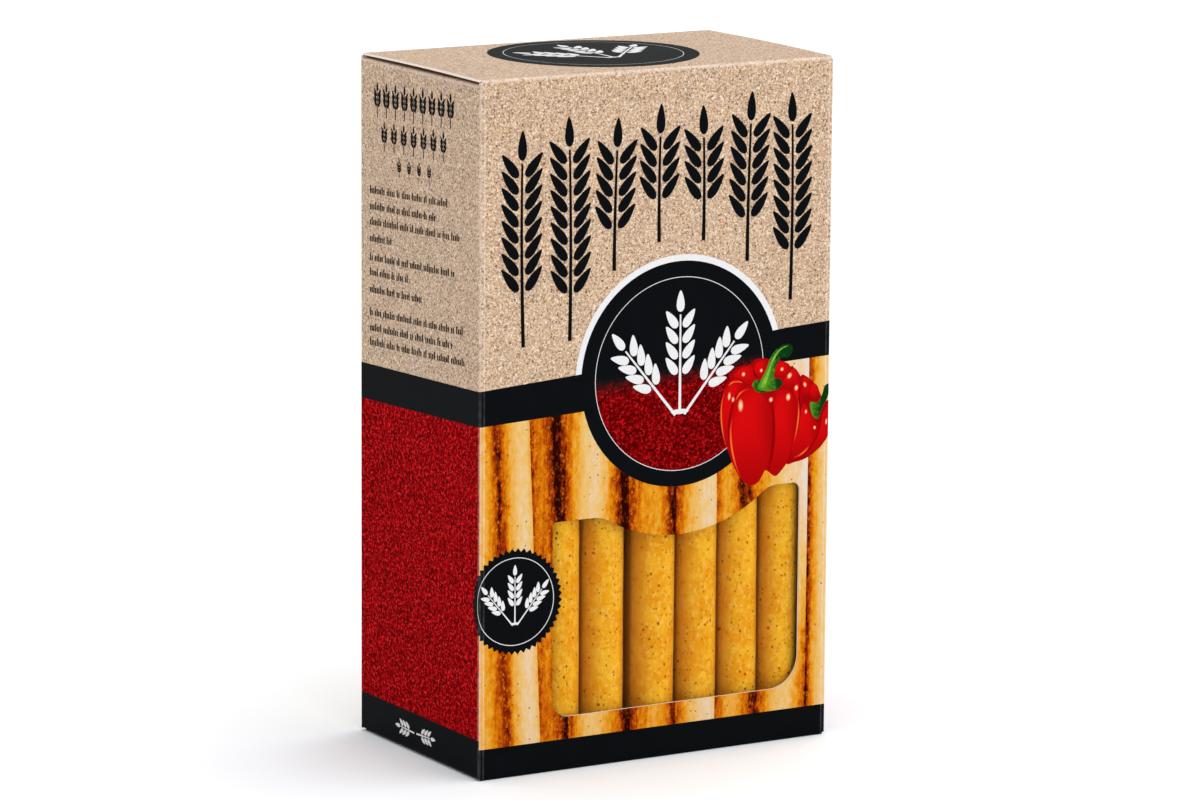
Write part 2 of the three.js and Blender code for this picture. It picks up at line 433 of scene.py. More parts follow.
LID_BOW, LID_STEPS = 0.25, 16  # how far the lid's middle bows up, and in how many steps
LID_REACH = DEPTH - BOARD - 0.05  # from the lid's crease to its tuck flap's
LID_GAP, BASE_GAP = 0.1, 1.3  # the lid and the base panel stop this far short of each side
FLAP = HEIGHT - 1.4  # height of the side flaps' crease, under the lid
FLAP_LENGTH, FLAP_TAPER = 26.0, 4.0
TUCK_LENGTH, TUCK_CORNER, TUCK_GAP = 13.0, 5.0, 1.2
BASE = INK - INK_ROOM  # the foot's ink, under the base panel, lies on what the carton stands on
BASE_FLAP = BASE + BOARD + 0.15
GLUE_STEP = 0.55  # the glue flap lies this far inside the back panel
GLUE_LENGTH = 12.0
STUB = 0.7  # the walls' corners stop this far short of the lid
NOTCH = 0.01  # and the back left corner this little more
BACK_DROP = 0.6  # the back panel stops this far short of the lid

# The walls in their order on the blank: where each starts, its corner and its direction.
WALLS = (
    (-DEPTH - WIDTH, Vector((WIDTH / 2, DEPTH / 2)), Vector((-1, 0))),
    (-DEPTH, Vector((-WIDTH / 2, DEPTH / 2)), Vector((0, -1))),
    (0.0, Vector((-WIDTH / 2, -DEPTH / 2)), Vector((1, 0))),
    (WIDTH, Vector((WIDTH / 2, -DEPTH / 2)), Vector((0, 1))),
    (WIDTH + DEPTH - GLUE_STEP, Vector((WIDTH / 2, DEPTH / 2 - GLUE_STEP)), Vector((-1, 0))),
)
FRONT = 2
SIDES = (1, 3)

# The window, and the printed medallion and seal whose outlines its edge follows
WINDOW_LEFT, WINDOW_RIGHT = 20.4, 90.5
WINDOW_BOTTOM, WINDOW_LEFT_TOP, WINDOW_RIGHT_TOP = 13.3, 61.6, 64.8
BOTTOM_LEFT_ROUND, BOTTOM_RIGHT_ROUND = 4.5, 8.0
TOP_RIGHT_ROUND, TOP_LEFT_ROUND = 2.0, 1.0
MEDALLION = Vector((55.7, 94.8))
DIP_RADIUS = 39.6
SHOULDER_EASE = 2.5  # how far each shoulder is rounded off
SEAL = Vector((10.0, 43.3))
SEAL_TIP, SEAL_ROOT = 13.1, 12.2
SEAL_TEETH = 48


def arc(centre, radius, start, end, steps=8):
    """Points along an arc, with its angles in degrees."""
    angles = (math.radians(start + (end - start) * i / steps) for i in range(steps + 1))
    return [centre + radius * Vector((math.cos(a), math.sin(a))) for a in angles]


def seal_outline():
    """The seal's toothed edge."""
    corners = []
    for i in range(2 * SEAL_TEETH):
        angle = math.pi * i / SEAL_TEETH
        radius = SEAL_TIP if i % 2 else SEAL_ROOT
        corners.append(SEAL + radius * Vector((math.cos(angle), math.sin(angle))))
    return corners


def window_outline():
    """Round-cornered, with its top edge bowed down round the medallion."""
    right = math.degrees(math.asin((WINDOW_RIGHT_TOP - MEDALLION.y) / DIP_RADIUS))
    left = -180 - math.degrees(math.asin((WINDOW_LEFT_TOP - MEDALLION.y) / DIP_RADIUS))
    ease = math.degrees(SHOULDER_EASE / DIP_RADIUS)
    dip = arc(MEDALLION, DIP_RADIUS, right - ease, left + ease, 32)
    right_shoulder = arc(MEDALLION, DIP_RADIUS, right, right, 1)[0]
    left_shoulder = arc(MEDALLION, DIP_RADIUS, left, left, 1)[0]

    def eased(start, bend, end):
        """Points along the curve that rounds off this bend."""
        steps = [i / 6 for i in range(1, 6)]
        return [start.lerp(bend, t).lerp(bend.lerp(end, t), t) for t in steps]

    def rounded(u, v, across, up, radius, start, steps=8):
        """A quarter of a circle in the corner at u and v."""
        centre = Vector((u + across * radius, v + up * radius))
        return arc(centre, radius, start, start + 90, steps)

    right_flat = right_shoulder + Vector((SHOULDER_EASE, 0))
    left_flat = left_shoulder - Vector((SHOULDER_EASE, 0))
    return [
        *rounded(WINDOW_LEFT, WINDOW_BOTTOM, 1, 1, BOTTOM_LEFT_ROUND, 180),
        *rounded(WINDOW_RIGHT, WINDOW_BOTTOM, -1, 1, BOTTOM_RIGHT_ROUND, 270, 12),
        *rounded(WINDOW_RIGHT, WINDOW_RIGHT_TOP, -1, -1, TOP_RIGHT_ROUND, 0),
        right_flat,
        *eased(right_flat, right_shoulder, dip[0]),
        *dip,
        *eased(dip[-1], left_shoulder, left_flat),
        left_flat,
        *rounded(WINDOW_LEFT, WINDOW_LEFT_TOP, 1, -1, TOP_LEFT_ROUND, 90, 4),
    ]


def blank_end(lid, flap, up):
    """The blank's edge along one end, from the back panel round to the glue flap."""
    stub = lid - up * STUB
    drop = lid - up * BACK_DROP
    edge = [(-DEPTH - WIDTH + FOLD, drop), (-DEPTH - FOLD, drop)]

    def side_flap(start, end):
        """A flap that tapers over the side between these two corners."""
        return [
            (start, stub),
            (start, flap + up * FOLD),
            (start + FLAP_TAPER, flap + up * FLAP_LENGTH),
            (end - FLAP_TAPER, flap + up * FLAP_LENGTH),
            (end, flap + up * FOLD),
            (end, stub),
        ]

    gap = LID_GAP if up > 0 else BASE_GAP
    half_lid = [
        (FOLD, stub),
        (FOLD, lid + up * FOLD),
        (gap, lid + up * (FOLD + LID_GAP)),
        (gap, lid + up * (LID_REACH - FOLD - LID_GAP)),
        (TUCK_GAP, lid + up * (LID_REACH - FOLD)),
        (TUCK_GAP, lid + up * (LID_REACH + TUCK_LENGTH - TUCK_CORNER)),
        (TUCK_CORNER, lid + up * (LID_REACH + TUCK_LENGTH)),
    ]
    edge += [(-DEPTH + FOLD, stub - up * NOTCH), *side_flap(-DEPTH + FOLD, -FOLD)[1:]]
    edge += half_lid
    edge += [(WIDTH - u, v) for u, v in reversed(half_lid)]
    edge += side_flap(WIDTH + FOLD, WIDTH + DEPTH - GLUE_STEP - FOLD)
    edge.append((WIDTH + DEPTH - GLUE_STEP + FOLD, stub))
    edge.append((WIDTH + DEPTH + GLUE_LENGTH, stub - up * GLUE_LENGTH))
    return [Vector(point) for point in edge]


def inside(point, outlines):
    """True if the point is within an odd number of the outlines."""
    u, v = point
    crossed = False
    for outline in outlines:
        for a, b in zip(outline, outline[1:] + outline[:1]):
            if (a.y > v) != (b.y > v) and u < a.x + (v - a.y) * (b.x - a.x) / (b.y - a.y):
                crossed = not crossed
    return crossed


def crease_lines():
    """The u and v of every line along which the flat blank has to be able to bend."""
    steps = [FOLD * (2 * i / FOLD_STEPS - 1) for i in range(FOLD_STEPS + 1)]
    across = [start + step for start, _, _ in WALLS[1:] for step in steps]
    creases = (LID, FLAP, BASE, BASE_FLAP, LID + LID_REACH, BASE - LID_REACH)
    up = [crease + step for crease in creases for step in steps]
    up += [LID + LID_REACH * i / LID_STEPS for i in range(1, LID_STEPS)]
    return across, up


def cut_up(outlines):
    """Triangles between all the outlines and the creases that cross them, and their points."""
    everything = [point for outline in outlines for point in outline]
    low = Vector((min(p.x for p in everything) - 1, min(p.y for p in everything) - 1))
    high = Vector((max(p.x for p in everything) + 1, max(p.y for p in everything) + 1))
    points, edges = [], []
    for outline in outlines:
        first = len(points)
        points += outline
        edges += [(first + i, first + (i + 1) % len(outline)) for i in range(len(outline))]
    across, up = crease_lines()
    lines = [((u, low.y), (u, high.y)) for u in across if low.x < u < high.x]
    lines += [((low.x, v), (high.x, v)) for v in up if low.y < v < high.y]
    for start, end in lines:
        edges.append((len(points), len(points) + 1))
        points += [Vector(start), Vector(end)]
    result = delaunay_2d_cdt(points, edges, [], 0, CUT_TOLERANCE)
    return result[0], result[2]


def on_wall(u, lift):
    """Where a point on the walls lies in plan."""
    index = max(i for i, wall in enumerate(WALLS) if i == 0 or u >= wall[0])
    start, corner, along = WALLS[index]
    end = WALLS[index + 1][0] if index + 1 < len(WALLS) else math.inf
    outward = Vector((along.y, -along.x))
    if index and u - start < FOLD:
        turn = -math.pi / 4 * (1 - (u - start) / FOLD)
        centre = corner + (along - outward) * FOLD
    elif end - u < FOLD:
        turn = math.pi / 4 * (1 - (end - u) / FOLD)
        centre = corner + along * (end - start - FOLD) - outward * FOLD
    else:
        return corner + along * (u - start) + outward * lift
    return centre + (outward * math.cos(turn) + along * math.sin(turn)) * (FOLD + lift)


def on_end(index, u, past, level, up, lift, reach, bow):
    """Where a point on a panel or flap lies that is folded in over an end of the carton."""
    start, corner, along = WALLS[index]
    inward = Vector((-along.y, along.x))
    edge = corner + along * (u - start)
    arch = bow * math.sin(math.pi * min(max(past / reach, 0), 1)) if bow else 0
    if past < FOLD:
        turn = math.pi / 4 * (1 + past / FOLD)
        plan = edge + inward * (FOLD - (FOLD + lift) * math.cos(turn))
        height = (FOLD + lift) * math.sin(turn) - FOLD
    elif past < reach - FOLD:
        plan = edge + inward * past
        height = lift
    elif past < reach + FOLD:
        turn = math.pi / 4 * (1 + (past - reach) / FOLD)
        plan = edge + inward * (reach - FOLD + (FOLD + lift) * math.sin(turn))
        height = (FOLD + lift) * math.cos(turn) - FOLD
    else:
        plan = edge + inward * (reach + lift)
        height = reach - past
    return Vector((*plan, level + up * (height + arch)))


def folded(u, v, lift):
    """Where a point of the flat blank lies, in metres, once the carton is made up."""
    lift -= INK_ROOM
    index = max(i for i, wall in enumerate(WALLS) if i == 0 or u >= wall[0])
    if index == FRONT:
        ends = ((LID, 1, LID_REACH, LID_BOW), (BASE, -1, LID_REACH, 0))
    elif index in SIDES:
        ends = ((FLAP, 1, math.inf, 0), (BASE_FLAP, -1, math.inf, 0))
    else:
        ends = ()
    start = WALLS[index][0]
    end = WALLS[index + 1][0] if index + 1 < len(WALLS) else math.inf
    clear_of_corners = start + FOLD - CORNER_SLACK <= u <= end - FOLD + CORNER_SLACK
    for level, up, reach, bow in ends:
        past = (v - level) * up
        if past > (-FOLD if clear_of_corners else FOLD):
            return on_end(index, u, past, level, up, lift, reach, bow) * MM
    return Vector((*on_wall(u, lift), v)) * MM


def folded_mesh(name, points, triangles, outer, inner, paint=None):
    """A closed sheet between two lifts: its faces use material 0, its back 1, its rim 2."""
    built = bmesh.new()
    faces = [[built.verts.new(folded(*point, lift)) for point in points] for lift in (outer, inner)]
    rim = {}
    for i, triangle in enumerate(triangles):
        face = built.faces.new([faces[0][k] for k in triangle])
        built.faces.new([faces[1][k] for k in reversed(triangle)]).material_index = 1
        for a, b in zip(triangle, triangle[1:] + triangle[:1]):
            if rim.pop((b, a), None) is None:
                rim[a, b] = i
        if paint:
            paint(built, face, [points[k] for k in triangle], i)
    for a, b in rim:
        corners = (faces[0][b], faces[0][a], faces[1][a], faces[1][b])
        built.faces.new(corners).material_index = 2
    loose = [vert for vert in built.verts if not vert.link_faces]
    bmesh.ops.delete(built, geom=loose, context="VERTS")
    mesh = bpy.data.meshes.new(name)
    built.to_mesh(mesh)
    built.free()
    return mesh


def away_from(tree, value, level):
    """How far the value is from that level."""
    return maths(tree, "ABSOLUTE", maths(tree, "SUBTRACT", value, level))


def crease_wear_and_highlight(tree):
    """How pale the creases are painted, from 0 to 1, along the upright creases and the top ones:
    partly wear, partly a painted highlight along each fold.
    """
    place = in_millimetres(tree)
    parts = add_node(tree, "ShaderNodeSeparateXYZ", {0: place}).outputs
    side = maths(tree, "ABSOLUTE", parts["X"])
    front = maths(tree, "ABSOLUTE", parts["Y"])
    near_side = between(tree, side, WIDTH / 2 - 1.0, WIDTH / 2 - 0.3)
    near_front = between(tree, front, DEPTH / 2 - 1.0, DEPTH / 2 - 0.3)
    near_top = between(tree, parts["Z"], LID - 1.2, LID - 0.4)
    near_flap = between(tree, parts["Z"], FLAP - 1.3, FLAP - 0.5)
    # A second pale line beside each upright crease: a crease mark, with a painted highlight.
    pressed_highlight = away_from(tree, side, WIDTH / 2 - PRESSED_HIGHLIGHT_LINE)
    pressed_highlight = maths(tree, "MULTIPLY", between(tree, pressed_highlight, 0.3, 0.1, 0.0, 0.8), near_front)
    near_side = maths(tree, "MAXIMUM", near_side, pressed_highlight)
    upright_crease = maths(tree, "MULTIPLY", near_side, near_front)
    front_crease = maths(tree, "MULTIPLY", near_top, near_front)
    side_crease = maths(tree, "MULTIPLY", near_flap, near_side)
    scuffs = between(tree, cloud(tree, place, 1.6, detail=4.0), 0.35, 0.6, 0.45, 1.0)
    wear_and_highlight = maths(tree, "MAXIMUM", maths(tree, "MULTIPLY", upright_crease, 0.85), front_crease)
    return maths(tree, "MULTIPLY", maths(tree, "MAXIMUM", wear_and_highlight, side_crease), scuffs)


def kraft_material():
    """The board's printed side: brown kraft with dark flecks and pale curled fibres."""
    material, tree = new_material("kraft", {"Roughness": 0.5, "Specular IOR Level": 0.45})
    place = in_millimetres(tree)
    clouds = between(tree, cloud(tree, place, 5.0, detail=3.0), 0.35, 0.65)
    colour = blend(tree, clouds, linear(187, 156, 127), linear(197, 162, 126))
    grain = between(tree, cloud(tree, place, 0.5, detail=2.0, roughness=0.7), 0.5, 0.68)
    colour = tinted(tree, colour, grain, 0.9, linear(130, 92, 60))
    for shift, size, width, tone, strength in (
        (17, 1.0, 0.06, linear(234, 212, 188), 0.95),
        (131, 0.7, 0.055, linear(226, 200, 172), 0.85),
        (71, 0.8, 0.045, linear(100, 62, 34), 0.9),
    ):
        curls = cloud(tree, in_millimetres(tree, shift=shift), size, detail=1.0)
        fibre = between(tree, away_from(tree, curls, 0.5), width, 0.3 * width)
        scattered = cloud(tree, in_millimetres(tree, shift=2 * shift), 0.7)
        fibre = maths(tree, "MULTIPLY", fibre, between(tree, scattered, 0.46, 0.53))
        colour = tinted(tree, colour, fibre, strength, tone)
    for shift, spacing, radius, strength in ((5, 1.6, 0.34, 0.9), (9, 0.9, 0.22, 0.7)):
        flecks = specks(tree, in_millimetres(tree, shift=shift), spacing, radius, 0.6)
        colour = tinted(tree, colour, flecks, strength, linear(88, 50, 24))
    # Paler along the creases: wear, and a painted highlight on each fold.
    colour = tinted(tree, colour, crease_wear_and_highlight(tree), 0.7, linear(226, 206, 190))
    return finished(material, colour, grain, 0.25, 0.03)


def raw_board_material():
    """The board's unprinted side: a greyer brown, clouded by its pulp."""
    material, tree = new_material("raw_board", {"Roughness": 0.85})
    pulp = cloud(tree, in_millimetres(tree), 1.4, detail=4.0)
    colour = blend(tree, pulp, linear(150, 118, 90), linear(186, 154, 122))
    return finished(material, colour)


def cut_board_material():
    """The board's cut edge: pale pulp, darkened to near black close to the floor."""
    material, tree = new_material("cut_board", {"Roughness": 0.9})
    place = in_millimetres(tree)
    pulp = cloud(tree, place, 0.6, detail=3.0)
    colour = blend(tree, pulp, linear(232, 218, 202), linear(244, 236, 226))
    height = add_node(tree, "ShaderNodeSeparateXYZ", {0: place}).outputs["Z"]
    # Darker towards the floor: near black below 1 mm, fading out by 1.4 mm.
    colour = blend(tree, between(tree, height, 1.4, 1.0), colour, linear(14, 14, 16))
    return finished(material, colour)


top_end = blank_end(LID, FLAP, 1)
bottom_end = blank_end(BASE, BASE_FLAP, -1)
blank = top_end[::-1] + bottom_end
window = window_outline()
seal = seal_outline()


def on_board(point):
    """True if there is board at this point of the flat blank."""
    return inside(point, [blank]) and (not inside(point, [window]) or inside(point, [seal]))


def middle(points, triangle):
    """The middle of a triangle."""
    return sum((points[k] for k in triangle), Vector((0, 0))) / 3


board_points, board_triangles = cut_up([blank, window, seal])
board_triangles = [t for t in board_triangles if on_board(middle(board_points, t))]
board_mesh = folded_mesh("folded_board", board_points, board_triangles, 0, -BOARD)
for material in (kraft_material(), raw_board_material(), cut_board_material()):
    board_mesh.materials.append(material)
new_piece("folded_board", board_mesh, "board", "carton")

# ---------------------------------------------------------------------------------------
# Inks
# Flat colours printed on the board. Each ink is a film a few hundredths thick, cut to its
# shapes and folded with the board. They are laid from the top colour down, and each leaves
# out what those laid before it already cover.
# ---------------------------------------------------------------------------------------
SINK = 0.01  # how far an ink's underside lies within the board
INK_FINISH = {"Roughness": 0.6, "Specular IOR Level": 0.005}
covered = []


def extent(outlines):
    """The least and greatest u and v of some outlines."""
    points = [point for outline in outlines for point in outline]
    us = [point.x for point in points]
    vs = [point.y for point in points]
    return min(us), max(us), min(vs), max(vs)


def overlapping(first, second):
    """True if two extents overlap."""
    return (
        first[0] < second[1] and second[0] < first[1]
        and first[2] < second[3] and second[2] < first[3]
    )


def lay_ink(name, material, shapes):
    """Prints shapes, each with outlines, a paint for its points' UV and four numbers of tone.

    The tone may also be a function that gives the numbers for a point.
    """
    own = [outline for one in shapes for outline in one["outlines"]]
    size = extent(own)
    above = [(extent(outlines), outlines) for outlines in covered]
    above = [(reach, outlines) for reach, outlines in above if overlapping(size, reach)]
    cutting = [outline for _, outlines in above for outline in outlines]
    points, triangles = cut_up(own + cutting + [window, seal, blank])
    printed, owner = [], []
    for triangle in triangles:
        centre = middle(points, triangle)
        found = [one for one in shapes if holds(one["reach"], one["outlines"], centre)]
        if found and on_board(centre) and not any(holds(*cover, centre) for cover in above):
            printed.append(triangle)
            owner.append(found[-1])

    def paint(built, face, corners, i):
        """Gives a face's corners the paint and the tone of the shape that it belongs to."""
        kinds = built.loops.layers
        paints = kinds.uv.get("paint") or kinds.uv.new("paint")
        tones = kinds.float_color.get("tone") or kinds.float_color.new("tone")
        tone = owner[i]["tone"]
        for loop, corner in zip(face.loops, corners):
            loop[paints].uv = owner[i]["paint"](corner)
            loop[tones] = tone(corner) if callable(tone) else tone

    mesh = folded_mesh(name, points, printed, INK, -SINK, paint)
    for _ in range(3):
        mesh.materials.append(material)
    covered.extend(one["outlines"] for one in shapes)
    return new_piece(name, mesh, "board")


def holds(reach, outlines, point):
    """True if the point is in the outlines, whose reach is known."""
    within = reach[0] < point.x < reach[1] and reach[2] < point.y < reach[3]
    return within and inside(point, outlines)


def shape(*outlines, paint=None, tone=(0, 0, 0, 0)):
    """A printed shape. Its paint runs from -1 to 1 across it and up it, unless one is given."""
    left, right, bottom, top = reach = extent(outlines)

    def across_and_up(point):
        """Where the point lies between the shape's sides and between its bottom and top."""
        across = (2 * point.x - left - right) / (right - left)
        up = (2 * point.y - bottom - top) / (top - bottom)
        return across, up

    paint = paint or across_and_up
    return {"outlines": list(outlines), "reach": reach, "paint": paint, "tone": tone}


def circle(centre, radius, steps=96):
    """Points round a whole circle."""
    return arc(centre, radius, 0, 360 * (1 - 1 / steps), steps - 1)


def smooth(points, steps=6):
    """A closed smooth line through the points."""
    points = [Vector(point) for point in points]
    count = len(points)
    line = []
    for i in range(count):
        before, start, end, after = (points[(i + k) % count] for k in (-1, 0, 1, 2))
        for step in range(steps):
            t = step / steps
            pull = (end - before) * (t - 2 * t**2 + t**3) + (after - start) * (t**3 - t**2)
            line.append(start * (1 - 3 * t**2 + 2 * t**3) + end * (3 * t**2 - 2 * t**3) + pull / 2)
    return line


def turned_oval(centre, length, width, lean, steps=12):
    """An oval whose long way leans from upright by that many degrees, to the right."""
    long_way = Vector((math.sin(math.radians(lean)), math.cos(math.radians(lean))))
    cross_way = Vector((long_way.y, -long_way.x))
    turns = (math.tau * i / steps for i in range(steps))
    return [
        Vector(centre) + long_way * length / 2 * math.cos(t) + cross_way * width / 2 * math.sin(t)
        for t in turns
    ]


def sliver(points, width):
    """A smooth ribbon through the points, that wide at its middle and pointed at its ends."""
    points = [Vector(point) for point in points]
    sides = []
    for i, point in enumerate(points):
        along = points[min(i + 1, len(points) - 1)] - points[max(i - 1, 0)]
        across = Vector((along.y, -along.x)).normalized()
        half = width / 2 * math.sin(math.pi * i / (len(points) - 1))
        sides.append((point - across * half, point + across * half))
    return smooth([left for left, _ in sides] + [right for _, right in sides[-2:0:-1]])


def painted(tree):
    """The paint of each point's printed shape: as a rule, how far across it and up it."""
    paint = made(tree, "ShaderNodeUVMap", uv_map="paint")
    parts = add_node(tree, "ShaderNodeSeparateXYZ", {0: paint}).outputs
    return parts["X"], parts["Y"]


def from_middle(tree, across, up):
    """How far each point is from the middle of its printed shape."""
    place = {0: vector(tree, across, up)}
    return add_node(tree, "ShaderNodeVectorMath", place, operation="LENGTH").outputs["Value"]


def toned(tree):
    """The four numbers of the tone of each point's printed shape."""
    tone = add_node(tree, "ShaderNodeAttribute", attribute_name="tone").outputs
    parts = add_node(tree, "ShaderNodeSeparateColor", {0: tone["Color"]}).outputs
    return parts[0], parts[1], parts[2], tone["Alpha"]


# Pepper highlights and stems
def cream_material():
    """Printed glints: cream or, where the tone is 1, orange, and red at their edges."""
    material, tree = new_material("cream_ink", INK_FINISH)
    across, up = painted(tree)
    orange, *_ = toned(tree)
    edge = from_middle(tree, across, up)
    glint = blend(tree, between(tree, edge, 0.1, 1.0), linear(244, 206, 160), linear(206, 18, 14))
    ends = maths(tree, "ABSOLUTE", up)
    rim = blend(tree, between(tree, ends, 0.2, 1.0), linear(230, 96, 40), linear(206, 18, 14))
    return finished(material, blend(tree, orange, glint, rim))


HIGHLIGHTS = (
    # middle, length, width, lean
    ((73.1, 85.4), 3.6, 1.7, -5),
    ((86.8, 86.3), 2.2, 1.5, 10),
    ((81.8, 86.1), 1.5, 1.2, 30),
    ((89.1, 88.4), 1.9, 1.1, 30),
    ((69.8, 88.0), 2.6, 0.8, 15),
    ((70.9, 87.1), 1.7, 0.8, 20),
    ((73.8, 93.1), 1.4, 1.1, 30),
    ((78.9, 93.6), 1.2, 0.9, 30),
    ((84.9, 93.4), 1.3, 1.0, 40),
    ((87.1, 91.6), 2.4, 1.0, 40),
    ((91.6, 89.0), 1.9, 0.8, -30),
    ((92.0, 82.2), 1.4, 0.7, 20),
    ((98.0, 79.2), 2.0, 0.7, 15),
    ((94.6, 78.0), 1.3, 0.7, -30),
)
RIM_LIGHTS = (
    # points along it, and width
    (((68.8, 90.2), (67.7, 86.5), (67.6, 82.5), (68.2, 78.5), (69.3, 75.0)), 0.4),
    (((70.9, 83.0), (70.3, 79.6), (70.7, 75.0), (71.9, 70.6), (73.4, 67.6)), 0.5),
    (((71.6, 86.6), (72.6, 88.2), (74.0, 89.1), (75.6, 89.3)), 0.45),
    (((69.4, 90.5), (70.7, 91.4), (72.2, 91.5), (73.6, 91.0)), 0.5),
    (((89.7, 85.6), (89.9, 82.0), (89.4, 78.0), (88.4, 74.4)), 0.45),
    (((88.4, 70.9), (90.2, 71.4), (91.9, 72.4), (93.2, 73.7)), 0.45),
    (((100.6, 82.6), (101.0, 80.0), (100.9, 77.2)), 0.4),
)
glints = [shape(turned_oval(*h)) for h in HIGHLIGHTS]
glints += [shape(sliver(*rim), tone=(1, 0, 0, 0)) for rim in RIM_LIGHTS]
lay_ink("print_highlights", cream_material(), glints)


def stem_material():
    """Printed green: bright along its left, dark along its right."""
    material, tree = new_material("green_ink", INK_FINISH)
    across, _ = painted(tree)
    light, shade, *_ = toned(tree)
    mottle = cloud(tree, in_millimetres(tree), 0.9, detail=3.0)
    side = maths(tree, "ADD", across, maths(tree, "MULTIPLY_ADD", mottle, 1.6, -0.8))
    side = maths(tree, "ADD", side, shade)
    dark = blend(tree, between(tree, side, -0.5, 0.6), linear(74, 134, 30), linear(8, 52, 18))
    glint = maths(tree, "MULTIPLY", light, between(tree, mottle, 0.3, 0.7, 0.45, 1.0))
    return finished(material, blend(tree, glint, dark, linear(130, 176, 54)))


STEM_LIGHT = ((78.9, 89.8), (80.9, 93.6), (82.6, 97.0), (84.6, 98.7), (86.6, 99.1), (84.2, 98.0),
              (82.2, 95.2), (80.9, 91.6), (80.0, 89.6))
STEM = ((78.0, 89.4), (80.1, 93.2), (81.8, 97.0), (84.1, 99.0), (86.4, 99.6), (87.9, 98.7),
        (87.6, 97.2), (86.5, 96.2), (84.7, 96.2), (83.3, 94.6), (82.7, 92.0), (83.6, 88.9),
        (81.0, 88.3))
CALYX = ((76.3, 90.3), (77.6, 91.5), (79.2, 91.0), (82.0, 91.2), (84.4, 91.0), (85.0, 89.6),
         (83.3, 88.4), (81.5, 88.7), (79.5, 88.0), (77.6, 88.5), (76.8, 89.4))
SMALL_STEM = ((93.2, 84.4), (95.3, 84.2), (96.6, 86.0), (97.4, 88.2), (98.9, 88.6), (99.2, 86.8),
              (97.0, 83.2), (95.6, 80.2), (93.8, 81.3))
stems = [
    shape(smooth(CALYX), tone=(0, 0.9, 0, 0)),
    shape(smooth(SMALL_STEM), tone=(0, 0.5, 0, 0)),
    shape(smooth(STEM), tone=(0, 0.2, 0, 0)),
    shape(smooth(STEM_LIGHT), tone=(1, 0, 0, 0)),
]
lay_ink("print_stems", stem_material(), stems)


def pepper_material():
    """Printed red skin: each lobe bright up its left and darker to its edges."""
    material, tree = new_material("pepper_ink", INK_FINISH)
    across, up = painted(tree)
    depth, *_ = toned(tree)
    right = between(tree, across, -0.1, 1.1)
    low = between(tree, up, 0.4, -1.1)
    rounded = between(tree, from_middle(tree, across, up), 0.65, 1.3)
    shade = maths(tree, "MULTIPLY", maths(tree, "MAXIMUM", right, low), 0.5)
    shade = maths(tree, "MAXIMUM", shade, maths(tree, "MULTIPLY", rounded, 0.6))
    shade = maths(tree, "MAXIMUM", shade, depth)
    return finished(material, blend(tree, shade, linear(197, 8, 10), linear(106, 0, 4)))


MAIN_LOBE = ((75.1, 89.8), (72.0, 88.0), (70.7, 84.2), (70.0, 79.6), (70.5, 74.6), (72.0, 69.8),
             (74.3, 66.5), (76.4, 65.5), (78.2, 65.9), (79.8, 67.8), (81.5, 71.5), (82.3, 76.0),
             (82.3, 80.9), (81.4, 84.6), (79.5, 87.3), (77.7, 88.5))
RIGHT_LOBE = ((81.2, 87.9), (83.0, 87.9), (84.7, 88.4), (87.4, 87.6), (89.4, 84.4), (89.4, 80.2),
              (88.2, 75.4), (86.8, 70.6), (84.9, 68.3), (83.3, 67.1), (81.9, 67.7), (81.2, 69.4),
              (82.3, 73.5), (82.7, 79.0), (82.4, 84.0))
LEFT_LOBE = ((73.8, 91.5), (71.0, 92.0), (68.6, 89.2), (67.6, 84.5), (68.1, 79.7), (70.0, 74.2),
             (69.7, 79.6), (70.4, 84.4), (71.6, 88.4), (74.0, 90.2))
FAR_LOBE = ((88.0, 88.6), (89.6, 84.6), (89.5, 79.8), (88.8, 77.0), (89.6, 79.4), (90.5, 83.8),
            (90.9, 87.4), (90.4, 90.0))
BACK_LOBES = (
    ((76.2, 94.8), (73.1, 94.7), (70.9, 93.0), (73.1, 92.0), (75.6, 90.4), (77.6, 91.9)),
    ((80.4, 96.1), (78.3, 96.0), (76.8, 94.8), (77.9, 92.4), (79.3, 91.4), (80.4, 93.6)),
    ((83.4, 95.4), (85.9, 95.1), (87.4, 93.6), (86.4, 91.8), (84.6, 91.2), (83.0, 92.2)),
    ((88.4, 93.4), (89.7, 92.2), (90.5, 90.6), (90.0, 89.2), (87.6, 88.5), (85.4, 89.2),
     (85.6, 90.9), (87.0, 92.4)),
)
BODY = ((75.0, 95.3), (72.5, 95.1), (70.6, 93.9), (69.6, 92.0), (68.2, 89.8), (67.4, 86.5),
        (67.5, 82.0), (68.2, 78.4), (70.2, 73.0), (72.0, 69.2), (74.3, 66.3), (76.5, 65.3),
        (78.6, 66.0), (80.4, 68.6), (83.2, 66.9), (85.3, 68.4), (87.1, 70.8), (88.4, 76.0),
        (90.4, 83.4), (90.9, 87.5), (90.5, 90.6), (88.4, 93.5), (86.8, 94.1), (84.9, 95.4),
        (82.6, 95.8), (79.6, 96.6), (77.2, 96.5), (76.0, 95.6))
SMALL_LOBES = (
    ((90.4, 90.6), (92.1, 90.8), (93.4, 89.5), (93.3, 87.3), (91.8, 86.2), (90.6, 87.3)),
    ((93.7, 89.2), (95.0, 88.3), (95.7, 86.4), (94.6, 85.4), (93.3, 86.0), (93.1, 87.8)),
    ((91.4, 84.4), (93.4, 81.3), (95.2, 79.2), (95.5, 77.1), (94.1, 74.5), (91.6, 72.3),
     (88.4, 70.5), (87.4, 71.4), (88.8, 76.6), (90.2, 81.4)),
    ((99.2, 84.0), (100.7, 82.2), (100.8, 79.4), (99.8, 77.2), (98.2, 75.4), (96.0, 73.0),
     (93.6, 71.6), (91.2, 70.7), (93.4, 72.8), (95.4, 75.4), (96.3, 78.2), (97.0, 81.6)),
)
